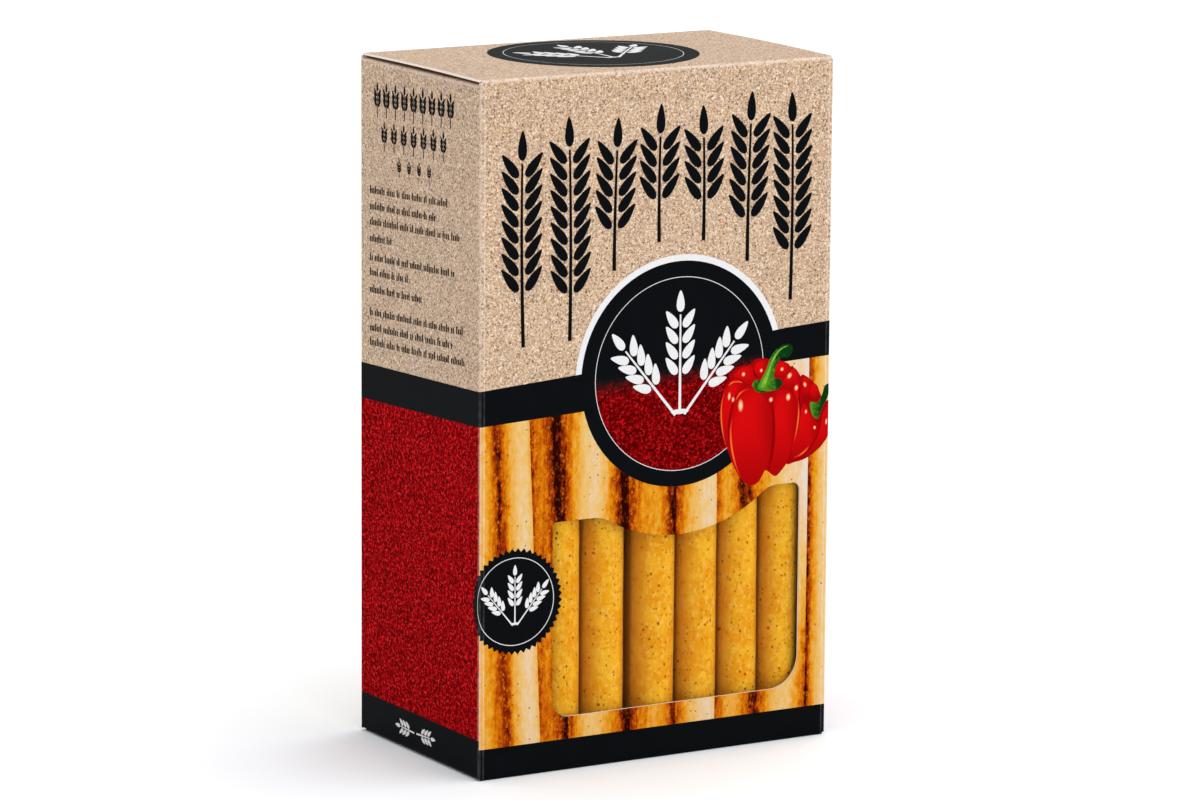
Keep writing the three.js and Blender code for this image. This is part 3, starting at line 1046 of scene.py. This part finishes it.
SMALL_BODY = ((90.2, 90.8), (92.1, 91.0), (93.6, 89.6), (95.1, 88.5), (96.0, 86.6), (97.2, 84.6),
              (99.2, 84.4), (100.9, 82.4), (101.0, 79.2), (100.0, 77.0), (98.4, 75.2), (96.1, 72.8),
              (93.8, 71.3), (91.4, 70.3), (89.0, 69.9), (86.4, 70.0), (88.2, 76.4), (89.8, 82.0))
CREASES = (
    # points along it, and width: the folds between the lobes
    (((82.0, 87.0), (82.6, 82.0), (82.7, 77.0), (82.2, 72.0), (81.2, 68.6)), 0.9),
    (((71.2, 87.6), (70.2, 84.0), (69.7, 80.0), (70.0, 76.0)), 0.5),
    (((76.6, 94.0), (77.2, 92.6), (78.2, 91.6)), 0.6),
    (((90.2, 90.0), (90.0, 86.0), (90.2, 82.0), (89.4, 76.0)), 0.7),
)
lobes = [shape(smooth(SMALL_BODY), tone=(0.65, 0, 0, 0))]
lobes += [shape(smooth(lobe)) for lobe in SMALL_LOBES]
lobes.append(shape(smooth(BODY), tone=(0.55, 0, 0, 0)))
lobes += [shape(smooth(lobe)) for lobe in (*BACK_LOBES, LEFT_LOBE, FAR_LOBE, RIGHT_LOBE, MAIN_LOBE)]
lobes += [shape(sliver(*crease), tone=(0.8, 0, 0, 0)) for crease in CREASES]
lay_ink("print_peppers", pepper_material(), lobes)

# White rings of the medallion, the seal and the lid's disc, and the ties of the sheaves
WHITE_RING, RING_LINE = 23.75, 0.16
SEAL_RING, SEAL_RING_LINE = 10.7, 0.18
LID_DISC = Vector((49.0, LID + 31.0))
LID_DISC_RADIUS, LID_RING = 25.9, 22.0


def white_material():
    """Printed white, a little uneven."""
    material, tree = new_material("white_ink", INK_FINISH)
    veil = cloud(tree, in_millimetres(tree), 0.8, detail=3.0)
    colour = blend(tree, veil, linear(214, 212, 212), linear(226, 225, 226))
    # Greyed along the creases, by the same mask of wear and painted highlight.
    colour = tinted(tree, colour, crease_wear_and_highlight(tree), 0.3, linear(200, 190, 180))
    return finished(material, colour)


def ring(centre, radius, line):
    """A ring of that radius, as wide as the line."""
    return shape(circle(centre, radius + line / 2), circle(centre, radius - line / 2))


white = white_material()
rings = [
    ring(MEDALLION, WHITE_RING, RING_LINE),
    ring(SEAL, SEAL_RING, SEAL_RING_LINE),
    ring(LID_DISC, LID_RING, RING_LINE),
]
# The sheaves of wheat, which are printed last, and the bands that tie their stalks
SHEAVES = (
    # name, tie and height
    ("medallion", MEDALLION + Vector((0, -11.5)), 32.0),
    ("seal", SEAL + Vector((0, -6.5)), 15.5),
    ("lid", LID_DISC + Vector((0, -11.5)), 29.0),
)
TIE_RISE, TIE_LENGTH, TIE_WIDTH = 0.07, 0.16, 0.04  # of a band, as shares of its sheaf's height
for _, tie, size in SHEAVES:
    middle_of_tie = tie + Vector((0, TIE_RISE * size))
    rings.append(shape(turned_oval(middle_of_tie, TIE_LENGTH * size, TIE_WIDTH * size, 90)))
lay_ink("print_rings", white, rings)

# Red: the fields of ground paprika on the two sides and in the medallion's lower half
BAND = {
    # u, bottom and top of the black band, round the walls
    "left back": (-DEPTH, 84.2, 93.1),
    "left front": (0.0, 86.6, 95.2),
    "front": (28.0, 87.9, 97.1),
    "front right": (84.6, 95.2, 103.5),
    "right": (WIDTH, 95.8, 104.4),
    "right back": (WIDTH + DEPTH, 97.4, 106.0),
}
FOOT_SIDE, FOOT_FRONT = 10.1, 7.8
MEDALLION_RADIUS = 27.7
PAPRIKA_FADE = 5.0
POWDER_LEFT, POWDER_RIGHT = 0.2, 3.0  # top of the medallion's powder, above its middle
POWDER_TOP, POWDER_SLOPE = 1.5, 0.06  # the line below which the powder starts to show
FAR_BELOW = 100.0


def paprika_material():
    """Printed paprika powder: deep red grains, which fade to black at an upper edge."""
    material, tree = new_material("red_ink", INK_FINISH)
    place = in_millimetres(tree)
    depth, dimness = painted(tree)
    powder = cloud(tree, place, 0.85, detail=3.0, roughness=0.75)
    colour = blend(tree, between(tree, powder, 0.4, 0.54), linear(92, 0, 2), linear(168, 2, 8))
    colour = blend(tree, between(tree, powder, 0.54, 0.64), colour, linear(222, 30, 36))
    squiggles = away_from(tree, cloud(tree, in_millimetres(tree, shift=23), 1.2), 0.5)
    scattered = between(tree, cloud(tree, in_millimetres(tree, shift=47), 1.3), 0.45, 0.52)
    pits = maths(tree, "MULTIPLY", between(tree, squiggles, 0.06, 0.02), scattered)
    colour = tinted(tree, colour, pits, 0.8, linear(40, 0, 0))
    glints = specks(tree, in_millimetres(tree, shift=41), 1.1, 0.28, 0.5)
    colour = tinted(tree, colour, glints, 0.7, linear(228, 60, 60))
    colour = tinted(tree, colour, dimness, 0.42, linear(20, 0, 0))
    ragged = maths(tree, "MULTIPLY_ADD", cloud(tree, place, 1.6, detail=3.0), 3.0, -1.5)
    lit = between(tree, maths(tree, "ADD", depth, ragged), 0.0, PAPRIKA_FADE)
    colour = blend(tree, lit, linear(22, 16, 18), colour)
    # Paler along the creases: wear, and a painted highlight on each fold.
    colour = tinted(tree, colour, crease_wear_and_highlight(tree), 0.5, linear(214, 160, 150))
    return finished(material, colour)


def all_lit(point):
    """A side's powder lies far below any edge, and is printed at full strength."""
    return FAR_BELOW, 0.0


def below_slope(point):
    """How far below the medallion's slanted middle line, where the powder is dimmer."""
    line = MEDALLION.y + POWDER_TOP + (point.x - MEDALLION.x) * POWDER_SLOPE
    return line - point.y, 1.0


def side_field(near, far):
    """A side's field, from the foot up to the band, between two of the band's places."""
    low = FOOT_SIDE if near[0] < WIDTH / 2 else FOOT_FRONT
    return [Vector(p) for p in ((near[0], low), (far[0], low), far[:2], near[:2])]


def black_material():
    """Printed black, greyed along the creases: wear, and a painted highlight."""
    finish = {"Roughness": 0.5, "Specular IOR Level": 0.018}
    material, tree = new_material("black_ink", finish)
    place = in_millimetres(tree)
    colour = blend(tree, cloud(tree, place, 5.0), linear(5, 7, 10), linear(10, 13, 15))
    colour = tinted(tree, colour, crease_wear_and_highlight(tree), 0.5, linear(84, 84, 86))
    return finished(material, colour)


# The seal's black wraps onto the side, over the red.
black = black_material()
lay_ink("print_seal", black, [shape(seal)])

inside_ring = WHITE_RING - RING_LINE / 2
half_disc = [
    *arc(MEDALLION, inside_ring, 180, 360, 48),
    MEDALLION + Vector((inside_ring, POWDER_RIGHT)),
    MEDALLION + Vector((-inside_ring, POWDER_LEFT)),
]
fields = [
    shape(side_field(BAND["left back"], BAND["left front"]), paint=all_lit),
    shape(side_field(BAND["right"], BAND["right back"]), paint=all_lit),
    shape(half_disc, paint=below_slope),
]
lay_ink("print_paprika", paprika_material(), fields)

# Black: the medallion, the lid's disc, the band and the foot, which wraps under the base
WALLS_START, WALLS_END = -DEPTH - WIDTH, WIDTH + DEPTH
FOOT_END = BASE - 1.2 * FOLD
whole_band = [(WALLS_START, *BAND["right back"][1:]), *BAND.values()]
band = [Vector((u, top)) for u, _, top in whole_band]
band += [Vector((u, bottom)) for u, bottom, _ in reversed(whole_band)]
foot = [
    Vector((WALLS_START, FOOT_SIDE)),
    Vector((0, FOOT_SIDE)),
    Vector((0, FOOT_FRONT)),
    Vector((WALLS_END, FOOT_FRONT)),
    Vector((WALLS_END, FOOT_END)),
    Vector((WALLS_START, FOOT_END)),
]
lay_ink(
    "print_black",
    black,
    [
        shape(circle(MEDALLION, MEDALLION_RADIUS)),
        shape(circle(LID_DISC, LID_DISC_RADIUS)),
        shape(band),
        shape(foot),
    ],
)

# Fine print on the left side: rows of short upright ticks, spaced as words
SIDE_ROW_START, SIDE_SLOPE = -54.8, 0.045  # u where each row starts, and how it rises
TICK_WIDTH, TICK_HEIGHT, TALLER, TICK_PITCH, WORD_GAP = 0.5, 1.3, 0.6, 0.86, 0.8
WORD_LENGTHS = (9, 5, 2, 5, 6, 2, 4, 7)
SIDE_ROWS = (
    # height and length
    (135.7, 38.5), (131.7, 32.6), (127.9, 44.8), (123.8, 11.1),
    (119.1, 42.0), (115.4, 19.3), (111.2, 26.2),
    (105.5, 46.4), (101.7, 40.8), (98.1, 47.0),
)


def ticks():
    """The rows' ticks, of which two in seven are taller."""
    drawn = []
    words = itertools.cycle(WORD_LENGTHS)
    for v, length in SIDE_ROWS:
        u = SIDE_ROW_START
        while u < SIDE_ROW_START + length:
            for _ in range(next(words)):
                if u > SIDE_ROW_START + length:
                    break
                low = v + SIDE_SLOPE * (u - SIDE_ROW_START)
                high = low + TICK_HEIGHT + (TALLER if len(drawn) % 7 in (0, 3) else 0)
                right = u + TICK_WIDTH
                corners = ((u, low), (right, low), (right, high), (u, high))
                drawn.append(shape([Vector(corner) for corner in corners]))
                u += TICK_PITCH
            u += WORD_GAP
    return drawn


lay_ink("print_fine_rows", black, ticks())

# White rim above the band, from its right end round to its left
WHITE_RIM, RIM_START, RIM_END = 29.25, -2, 176
rim = arc(MEDALLION, WHITE_RIM, RIM_START, RIM_END, 64)
lay_ink("print_white_rim", white, [shape(rim)])

# Printed breadsticks: a row of toasted rods between the foot and the band
PRINTED_STICKS = (
    # left edge at the foot and at the field's top, then at the foot and at the top again: the
    # toasting at the left, at its palest and at the right, and where the palest line runs
    ((0.0, 0.0), (0.30, 0.30, 0.85, -0.99), (0.30, 0.30, 0.92, -0.99)),
    ((8.2, 3.6), (0.90, 0.10, 0.28, 0.40), (0.90, 0.20, 0.36, 0.64)),
    ((17.2, 12.9), (0.74, 0.55, 1.15, -0.40), (0.74, 0.55, 1.70, -0.40)),
    ((25.2, 21.0), (0.85, 0.20, 1.20, -0.32), (1.05, 0.12, 1.75, 0.20)),
    ((42.4, 41.0), (0.90, 0.38, 1.10, 0.18), (0.70, 0.42, 1.30, 0.14)),
    ((55.2, 54.7), (0.76, 0.10, 0.20, 0.60), (0.82, 0.14, 0.22, 0.76)),
    ((66.5, 66.6), (0.78, 0.34, 1.10, -0.14), (0.75, 0.42, 1.00, -0.20)),
    ((78.1, 71.2), (1.05, 0.19, 0.85, 0.07), (0.95, 0.08, -0.80, 0.95)),
    ((92.7, 92.8), (0.95, 0.15, 0.20, 0.70), (0.90, 0.15, 0.20, 0.70)),
)
TOASTING = (
    # from raw to burnt
    (0.0, linear(216, 198, 182)),
    (0.2, linear(219, 176, 102)),
    (0.4, linear(215, 143, 24)),
    (0.55, linear(196, 102, 5)),
    (0.75, linear(148, 48, 3)),
    (1.0, linear(38, 4, 2)),
)
FIELD_TOP = 108.0


def printed_crust_material():
    """Printed breadsticks: pale along one line and more toasted to either side of it."""
    material, tree = new_material("toast_ink", INK_FINISH)
    across, _ = painted(tree)
    left, palest, right, palest_at = toned(tree)
    streaked = in_millimetres(tree, (1, 1, 0.4))
    ragged = cloud(tree, streaked, 1.6, detail=4.0, roughness=0.7)
    across = maths(tree, "ADD", across, maths(tree, "MULTIPLY_ADD", ragged, 0.5, -0.25))

    # The toasting rises as the square of the way from the palest line to either edge.
    toast = palest
    for side, edge in ((-1, left), (1, right)):
        way = maths(tree, "MULTIPLY", maths(tree, "SUBTRACT", across, palest_at), side)
        whole = maths(tree, "SUBTRACT", 1.0, maths(tree, "MULTIPLY", palest_at, side))
        way = maths(tree, "DIVIDE", maths(tree, "MAXIMUM", way, 0.0), whole)
        square = maths(tree, "POWER", maths(tree, "MINIMUM", way, 1.0), 2.0)
        rise = maths(tree, "MULTIPLY", square, maths(tree, "SUBTRACT", edge, palest))
        toast = maths(tree, "ADD", toast, rise)
    stretched = in_millimetres(tree, (1, 1, 0.5), shift=61)
    blotches = cloud(tree, stretched, 1.3, detail=5.0, roughness=0.8)
    streaks = cloud(tree, in_millimetres(tree, (1, 1, 0.05), shift=83), 1.1, detail=3.0)
    burnt = between(tree, toast, 0.25, 1.0, 0.5, 1.7)
    blotches = maths(tree, "MULTIPLY", maths(tree, "SUBTRACT", blotches, 0.5), burnt)
    toast = maths(tree, "ADD", maths(tree, "MINIMUM", toast, 1.05), blotches)
    grained = between(tree, toast, 0.1, 0.8, 0.12, 0.5)
    streaks = maths(tree, "MULTIPLY", maths(tree, "SUBTRACT", streaks, 0.5), grained)
    toast = maths(tree, "ADD", toast, streaks)
    ramp = add_node(tree, "ShaderNodeValToRGB", {"Fac": toast})
    stops = ramp.color_ramp.elements
    while len(stops) < len(TOASTING):
        stops.new(0.5)
    for stop, (place, colour) in zip(stops, TOASTING):
        stop.position = place
        stop.color = colour
    colour = ramp.outputs["Color"]
    gold = specks(tree, in_millimetres(tree, (1, 1, 0.8), shift=19), 0.95, 0.36, 0.6)
    gold = maths(tree, "MULTIPLY", gold, between(tree, toast, 0.45, 0.7, 0.1, 0.5))
    gold = maths(tree, "MULTIPLY", gold, between(tree, toast, 1.05, 0.8, 0.15, 1.0))
    colour = blend(tree, gold, colour, linear(212, 130, 40))
    bran = specks(tree, in_millimetres(tree, shift=3), 1.8, 0.3, 0.45)
    colour = tinted(tree, colour, bran, 0.75, linear(112, 52, 16))
    spice = specks(tree, in_millimetres(tree, shift=29), 4.5, 0.45, 0.3)
    colour = tinted(tree, colour, spice, 0.8, linear(176, 44, 10))
    # Paler along the creases: wear, and a painted highlight on each fold.
    colour = tinted(tree, colour, crease_wear_and_highlight(tree), 0.6, linear(234, 214, 194))
    return finished(material, colour)


def band_middle(u):
    """The height of the black band's middle line."""
    for (start, *from_heights), (end, *to_heights) in zip(whole_band, whole_band[1:]):
        if start <= u <= end:
            share = (u - start) / (end - start)
            return (sum(from_heights) * (1 - share) + sum(to_heights) * share) / 2


def printed_sticks(start):
    """The row of printed breadsticks on the panel that starts there."""
    rods = []
    edges = [edge for edge, _, _ in PRINTED_STICKS] + [(WIDTH, WIDTH)]

    def at_height(v, at_foot, at_top):
        """A value that runs evenly from the foot to the field's top."""
        return at_foot + (at_top - at_foot) * (v - FOOT_FRONT) / (FIELD_TOP - FOOT_FRONT)

    for (left, right), (_, *tones) in zip(zip(edges, edges[1:]), PRINTED_STICKS):

        def toasting(point, tones=tones):
            """The rod's tone at the point's height."""
            return [at_height(point.y, *pair) for pair in zip(*tones)]

        def across_rod(point, left=left, right=right):
            """Where the point lies between the rod's edges, from -1 to 1."""
            u_left = start + at_height(point.y, *left)
            u_right = start + at_height(point.y, *right)
            return 2 * (point.x - u_left) / (u_right - u_left) - 1, point.y

        left_top, right_top = (band_middle(start + edge[1]) for edge in (left, right))
        corners = (
            (left, FOOT_FRONT),
            (right, FOOT_FRONT),
            (right, right_top),
            (left, left_top),
        )
        outline = [Vector((start + at_height(v, *edge), v)) for edge, v in corners]
        rods.append(shape(outline, paint=across_rod, tone=toasting))
    return rods


printed_crust = printed_crust_material()
for name, start in (("front", 0.0), ("back", -DEPTH - WIDTH)):
    lay_ink(f"print_breadsticks_{name}", printed_crust, printed_sticks(start))

# ---------------------------------------------------------------------------------------
# Printed wheat
# Ears of wheat are the carton's ornament: a row of tall black ones across the kraft, and
# white sheaves over the black of the medallion, the seal and the lid's disc.
# ---------------------------------------------------------------------------------------
GRAIN_SIDES = 16
GRAIN_TAPER = 0.9  # how much narrower a grain is at its tip than at its base
STEM_RINGS = 24
STEM_TAPER = 0.45  # how much narrower a stem is at its top than at its root
STEM_HALF = 0.4  # half the stem where its grains leave it, as a share of its width
EAR_GAP = 0.3  # bare board between a stem and its grains, as a share of a grain's width

# Tall ears: u of the root, height of the root and of the tip, lean to the right in degrees,
# and sideways sway
TALL_EARS = (
    (12.0, 105.0, 157.0, -2.0, 1.5),
    (24.8, 105.5, 159.5, 1.0, -1.5),
    (37.0, 121.5, 158.5, 0.0, 1.0),
    (49.5, 127.5, 161.0, -1.0, 1.0),
    (62.0, 127.0, 160.0, 1.0, -1.0),
    (74.5, 121.0, 162.5, 0.0, 1.0),
    (87.0, 110.5, 161.5, 1.5, -1.5),
)
BACK_ROOT = 111.0  # on the back all of them stand at this height
TALL_GRAIN, TALL_PITCH = 7.2, 3.9  # length of a grain, and from one pair to the next
TALL_STALK = 19.0  # the least that an ear's stalk and its top grain take up

# Small ears at the head of the left side's print: first u, last u, count, root, height
SMALL_ROWS = (
    (-51.0, -14.5, 9, 154.6, 8.6),
    (-47.5, -18.0, 7, 146.4, 7.4),
    (-40.0, -25.0, 4, 140.6, 4.6),
)
SMALL_SHARES = {"Bare": 0.3, "Length": 0.27, "Width": 0.1, "Stem": 0.045}  # of the height

# Pair of ears on the side's foot: the middle of the pair, and how far each starts from it
FOOT_PAIR, FOOT_PAIR_GAP = (-31.5, 5.2), (0.6, 0.05)
FOOT_EAR = {"Height": 9.5, "Bare": 2.5, "Pairs": 3, "Length": 2.3, "Width": 0.9, "Stem": 0.45}

# Sheaves: the lean of each ear, where it starts above the tie, and its sizes, which are all
# shares of the sheaf's height
SHEAF_LEANS = (-40.0, 0.0, 40.0)
SHEAF_START, SHEAF_EAR, SHEAF_DROOP = 0.06, 0.94, 0.0018
SHEAF_SHARES = {"Bare": 0.3, "Length": 0.165, "Width": 0.066, "Stem": 0.024}


def wheat_tree(name, ink):
    """A flat ear of wheat, 1 mm thick, that stands on the origin and points along +Y."""
    tree, given, result = new_tree(
        name,
        Height=48.0,
        Bare=16.0,
        Pairs=6,
        Length=7.2,
        Width=2.3,
        Spread=38.0,
        Stem=1.0,
        Bend=0.0,
    )

    def sway(y):
        """How far the stem has swayed at this height, and its slope there."""
        climb = maths(tree, "DIVIDE", y, given["Height"])
        shift = maths(tree, "MULTIPLY", maths(tree, "MULTIPLY", climb, climb), given["Bend"])
        lean = maths(tree, "DIVIDE", maths(tree, "MULTIPLY", climb, given["Bend"]), given["Height"])
        return shift, maths(tree, "MULTIPLY", lean, 2.0)

    def moved(geometry, x, y):
        """The geometry with its points put at that x and y."""
        inputs = {"Geometry": geometry, "Position": vector(tree, x, y)}
        return made(tree, "GeometryNodeSetPosition", inputs)

    def joined(*geometries):
        """These geometries as one."""
        join = add_node(tree, "GeometryNodeJoinGeometry")
        for geometry in geometries:
            tree.links.new(geometry, join.inputs[0])
        return join.outputs[0]

    place = tree.nodes.new("GeometryNodeInputPosition").outputs[0]
    parts = add_node(tree, "ShaderNodeSeparateXYZ", {0: place}).outputs
    tip_root = maths(tree, "SUBTRACT", given["Height"], given["Length"])
    gap = maths(tree, "MULTIPLY", given["Width"], EAR_GAP)

    # The stem is a ribbon that narrows upwards and stops short of the grain at its tip.
    inputs = {"Size X": 1.0, "Size Y": 1.0, "Vertices X": 2, "Vertices Y": STEM_RINGS}
    ribbon = made(tree, "GeometryNodeMeshGrid", inputs)
    climb = maths(tree, "ADD", parts["Y"], 0.5)
    y = maths(tree, "MULTIPLY", climb, maths(tree, "SUBTRACT", tip_root, gap))
    narrowed = maths(tree, "MULTIPLY_ADD", climb, -STEM_TAPER, 1.0)
    across = maths(tree, "MULTIPLY", maths(tree, "MULTIPLY", parts["X"], narrowed), given["Stem"])
    stem = moved(ribbon, maths(tree, "ADD", across, sway(y)[0]), y)

    # A grain is a drop, 1 mm wide and 1 mm long, with its base on the origin.
    inputs = {"Vertices": GRAIN_SIDES, "Radius": 0.5}
    disc = made(tree, "GeometryNodeMeshCircle", inputs, fill_type="NGON")
    waist = maths(tree, "MULTIPLY_ADD", parts["Y"], -GRAIN_TAPER, 1.0)
    across = maths(tree, "MULTIPLY", parts["X"], waist)
    grain = moved(disc, across, maths(tree, "ADD", parts["Y"], 0.5))

    # Pairs of grains lean out of the stem, left and right, and one stands on its tip.
    ear = maths(tree, "SUBTRACT", tip_root, given["Bare"])
    step = maths(tree, "DIVIDE", ear, given["Pairs"])
    scale = vector(tree, given["Width"], given["Length"], 1.0)
    shift, slope = sway(parts["Y"])
    aside = maths(tree, "MULTIPLY_ADD", given["Stem"], STEM_HALF, gap)
    flat = [stem]
    for side in (-1, 0, 1):
        start = vector(tree, y=given["Bare"] if side else tip_root)
        count = given["Pairs"] if side else 1
        inputs = {"Count": count, "Start Location": start, "Offset": vector(tree, y=step)}
        row = made(tree, "GeometryNodeMeshLine", inputs)
        row = moved(row, maths(tree, "MULTIPLY_ADD", aside, side, shift), parts["Y"])
        spread = maths(tree, "MULTIPLY", maths(tree, "RADIANS", given["Spread"]), -side)
        turn = vector(tree, z=maths(tree, "SUBTRACT", spread, maths(tree, "ARCTANGENT", slope)))
        inputs = {"Points": row, "Instance": grain, "Rotation": turn, "Scale": scale}
        grains = made(tree, "GeometryNodeInstanceOnPoints", inputs)
        flat.append(made(tree, "GeometryNodeRealizeInstances", {"Geometry": grains}))

    # The flat shapes are given their thickness, and closed underneath.
    flat = joined(*flat)
    inputs = {"Mesh": flat, "Offset": (0, 0, 1), "Offset Scale": 1.0, "Individual": False}
    raised = made(tree, "GeometryNodeExtrudeMesh", inputs)
    under = made(tree, "GeometryNodeFlipFaces", {"Mesh": flat})
    inputs = {"Geometry": joined(raised, under), "Distance": 0.001}
    welded = made(tree, "GeometryNodeMergeByDistance", inputs)
    whole = made(tree, "GeometryNodeRealizeInstances", {"Geometry": welded})
    inked = made(tree, "GeometryNodeSetMaterial", {"Geometry": whole, "Material": ink})
    tree.links.new(inked, result.inputs[0])
    return tree


def print_wheat(name, ink, underneath, ears):
    """Prints ears over that many inks: each has a root, a lean and its tree's inputs."""
    tree = wheat_tree(name, ink)
    built = bmesh.new()
    for root, lean, inputs in ears:
        ear = mesh_from_tree(tree, **inputs)
        turn = Matrix.Rotation(-math.radians(lean), 2)
        for point in ear.vertices:
            place = Vector(root) + turn @ point.co.xy
            lift = underneath * INK - SINK + point.co.z * (INK + SINK)
            point.co = folded(*place, lift)
        built.from_mesh(ear)
    mesh = bpy.data.meshes.new(name)
    built.to_mesh(mesh)
    built.free()
    mesh.materials.append(ink)
    return new_piece(name, mesh, "board")


def sheaf(tie, size):
    """Ears that fan out from where they are tied, the shorter the more they lean."""
    ears = []
    for lean in SHEAF_LEANS:
        inputs = {name: share * size for name, share in SHEAF_SHARES.items()}
        height = size * (1 - SHEAF_DROOP * abs(lean)) * SHEAF_EAR
        inputs.update({"Height": height, "Pairs": 4, "Spread": 36.0})
        way = Vector((math.sin(math.radians(lean)), math.cos(math.radians(lean))))
        ears.append((tie + way * SHEAF_START * size, lean, inputs))
    return ears


def small_ear(u, v, height):
    """A small ear that stands on the side, where its print runs up towards the front."""
    inputs = {name: share * height for name, share in SMALL_SHARES.items()}
    inputs.update({"Height": height, "Pairs": 3, "Spread": 34.0})
    return (u, v + SIDE_SLOPE * (u - SIDE_ROW_START)), 0.0, inputs


def small_rows():
    """The rows of small ears at the head of the side's print."""
    ears = []
    for first, last, count, v, height in SMALL_ROWS:
        step = (last - first) / (count - 1)
        ears += [small_ear(first + step * i, v, height) for i in range(count)]
    return ears


def foot_pair():
    """Two ears that lie along the foot of the side, back to back."""
    middle_of_pair, gap = Vector(FOOT_PAIR), Vector(FOOT_PAIR_GAP)
    return [(middle_of_pair + side * gap, side * 88.0, FOOT_EAR) for side in (-1, 1)]


def tall_ears(start, fixed_root=None):
    """The row of tall ears on the panel that starts there."""
    ears = []
    for u, root, tip, lean, bend in TALL_EARS:
        root = fixed_root or root
        height = tip - root
        pairs = round((height - TALL_STALK) / TALL_PITCH)
        bare = height - TALL_GRAIN - TALL_PITCH * pairs
        inputs = {"Height": height, "Bare": bare, "Pairs": pairs, "Length": TALL_GRAIN}
        ears.append(((start + u, root), lean, {**inputs, "Bend": bend}))
    return ears


print_wheat("print_tall_wheat_front", black, 0, tall_ears(0.0))
print_wheat("print_tall_wheat_back", black, 0, tall_ears(-DEPTH - WIDTH, BACK_ROOT))
for name, tie, size in SHEAVES:
    print_wheat(f"print_wheat_{name}", white, 1, sheaf(tie, size))
print_wheat("print_small_wheat", black, 0, small_rows())
print_wheat("print_wheat_foot", white, 1, foot_pair())

# ---------------------------------------------------------------------------------------
# Floor and light
# A white table that runs out of sight, under soft white light from all round, with a
# large lamp to the right of the front panel.
# ---------------------------------------------------------------------------------------
FLOOR_SIZE = 12000.0
SKY = 0.7
SUN_FROM = Vector((0.50, -0.34, 0.80))
SUN_STRENGTH = 2.2
SUN_ANGLE = 120.0

floor_mesh = bpy.data.meshes.new("floor")
half = FLOOR_SIZE / 2 * MM
floor_mesh.from_pydata(
    [(-half, -half, 0), (half, -half, 0), (half, half, 0), (-half, half, 0)], [], [(0, 1, 2, 3)]
)
floor = new_object("floor", floor_mesh)
floor_finish = {
    "Base Color": (0.93, 0.96, 0.98, 1),
    "Roughness": 0.8,
    "Specular IOR Level": 0.0,
}
floor_white, _ = new_material("floor_white", floor_finish)
floor_mesh.materials.append(floor_white)

lamp_data = bpy.data.lights.new("key", "SUN")
lamp_data.energy = SUN_STRENGTH
lamp_data.angle = math.radians(SUN_ANGLE)
lamp = new_object("key", lamp_data)
lamp.matrix_world = (-SUN_FROM).to_track_quat("-Z", "Y").to_matrix().to_4x4()

world = bpy.data.worlds.new("studio")
world.use_nodes = True
world.node_tree.nodes["Background"].inputs["Color"].default_value = (1, 1, 1, 1)
world.node_tree.nodes["Background"].inputs["Strength"].default_value = SKY
bpy.context.scene.world = world
bpy.context.scene.view_settings.view_transform = "Standard"
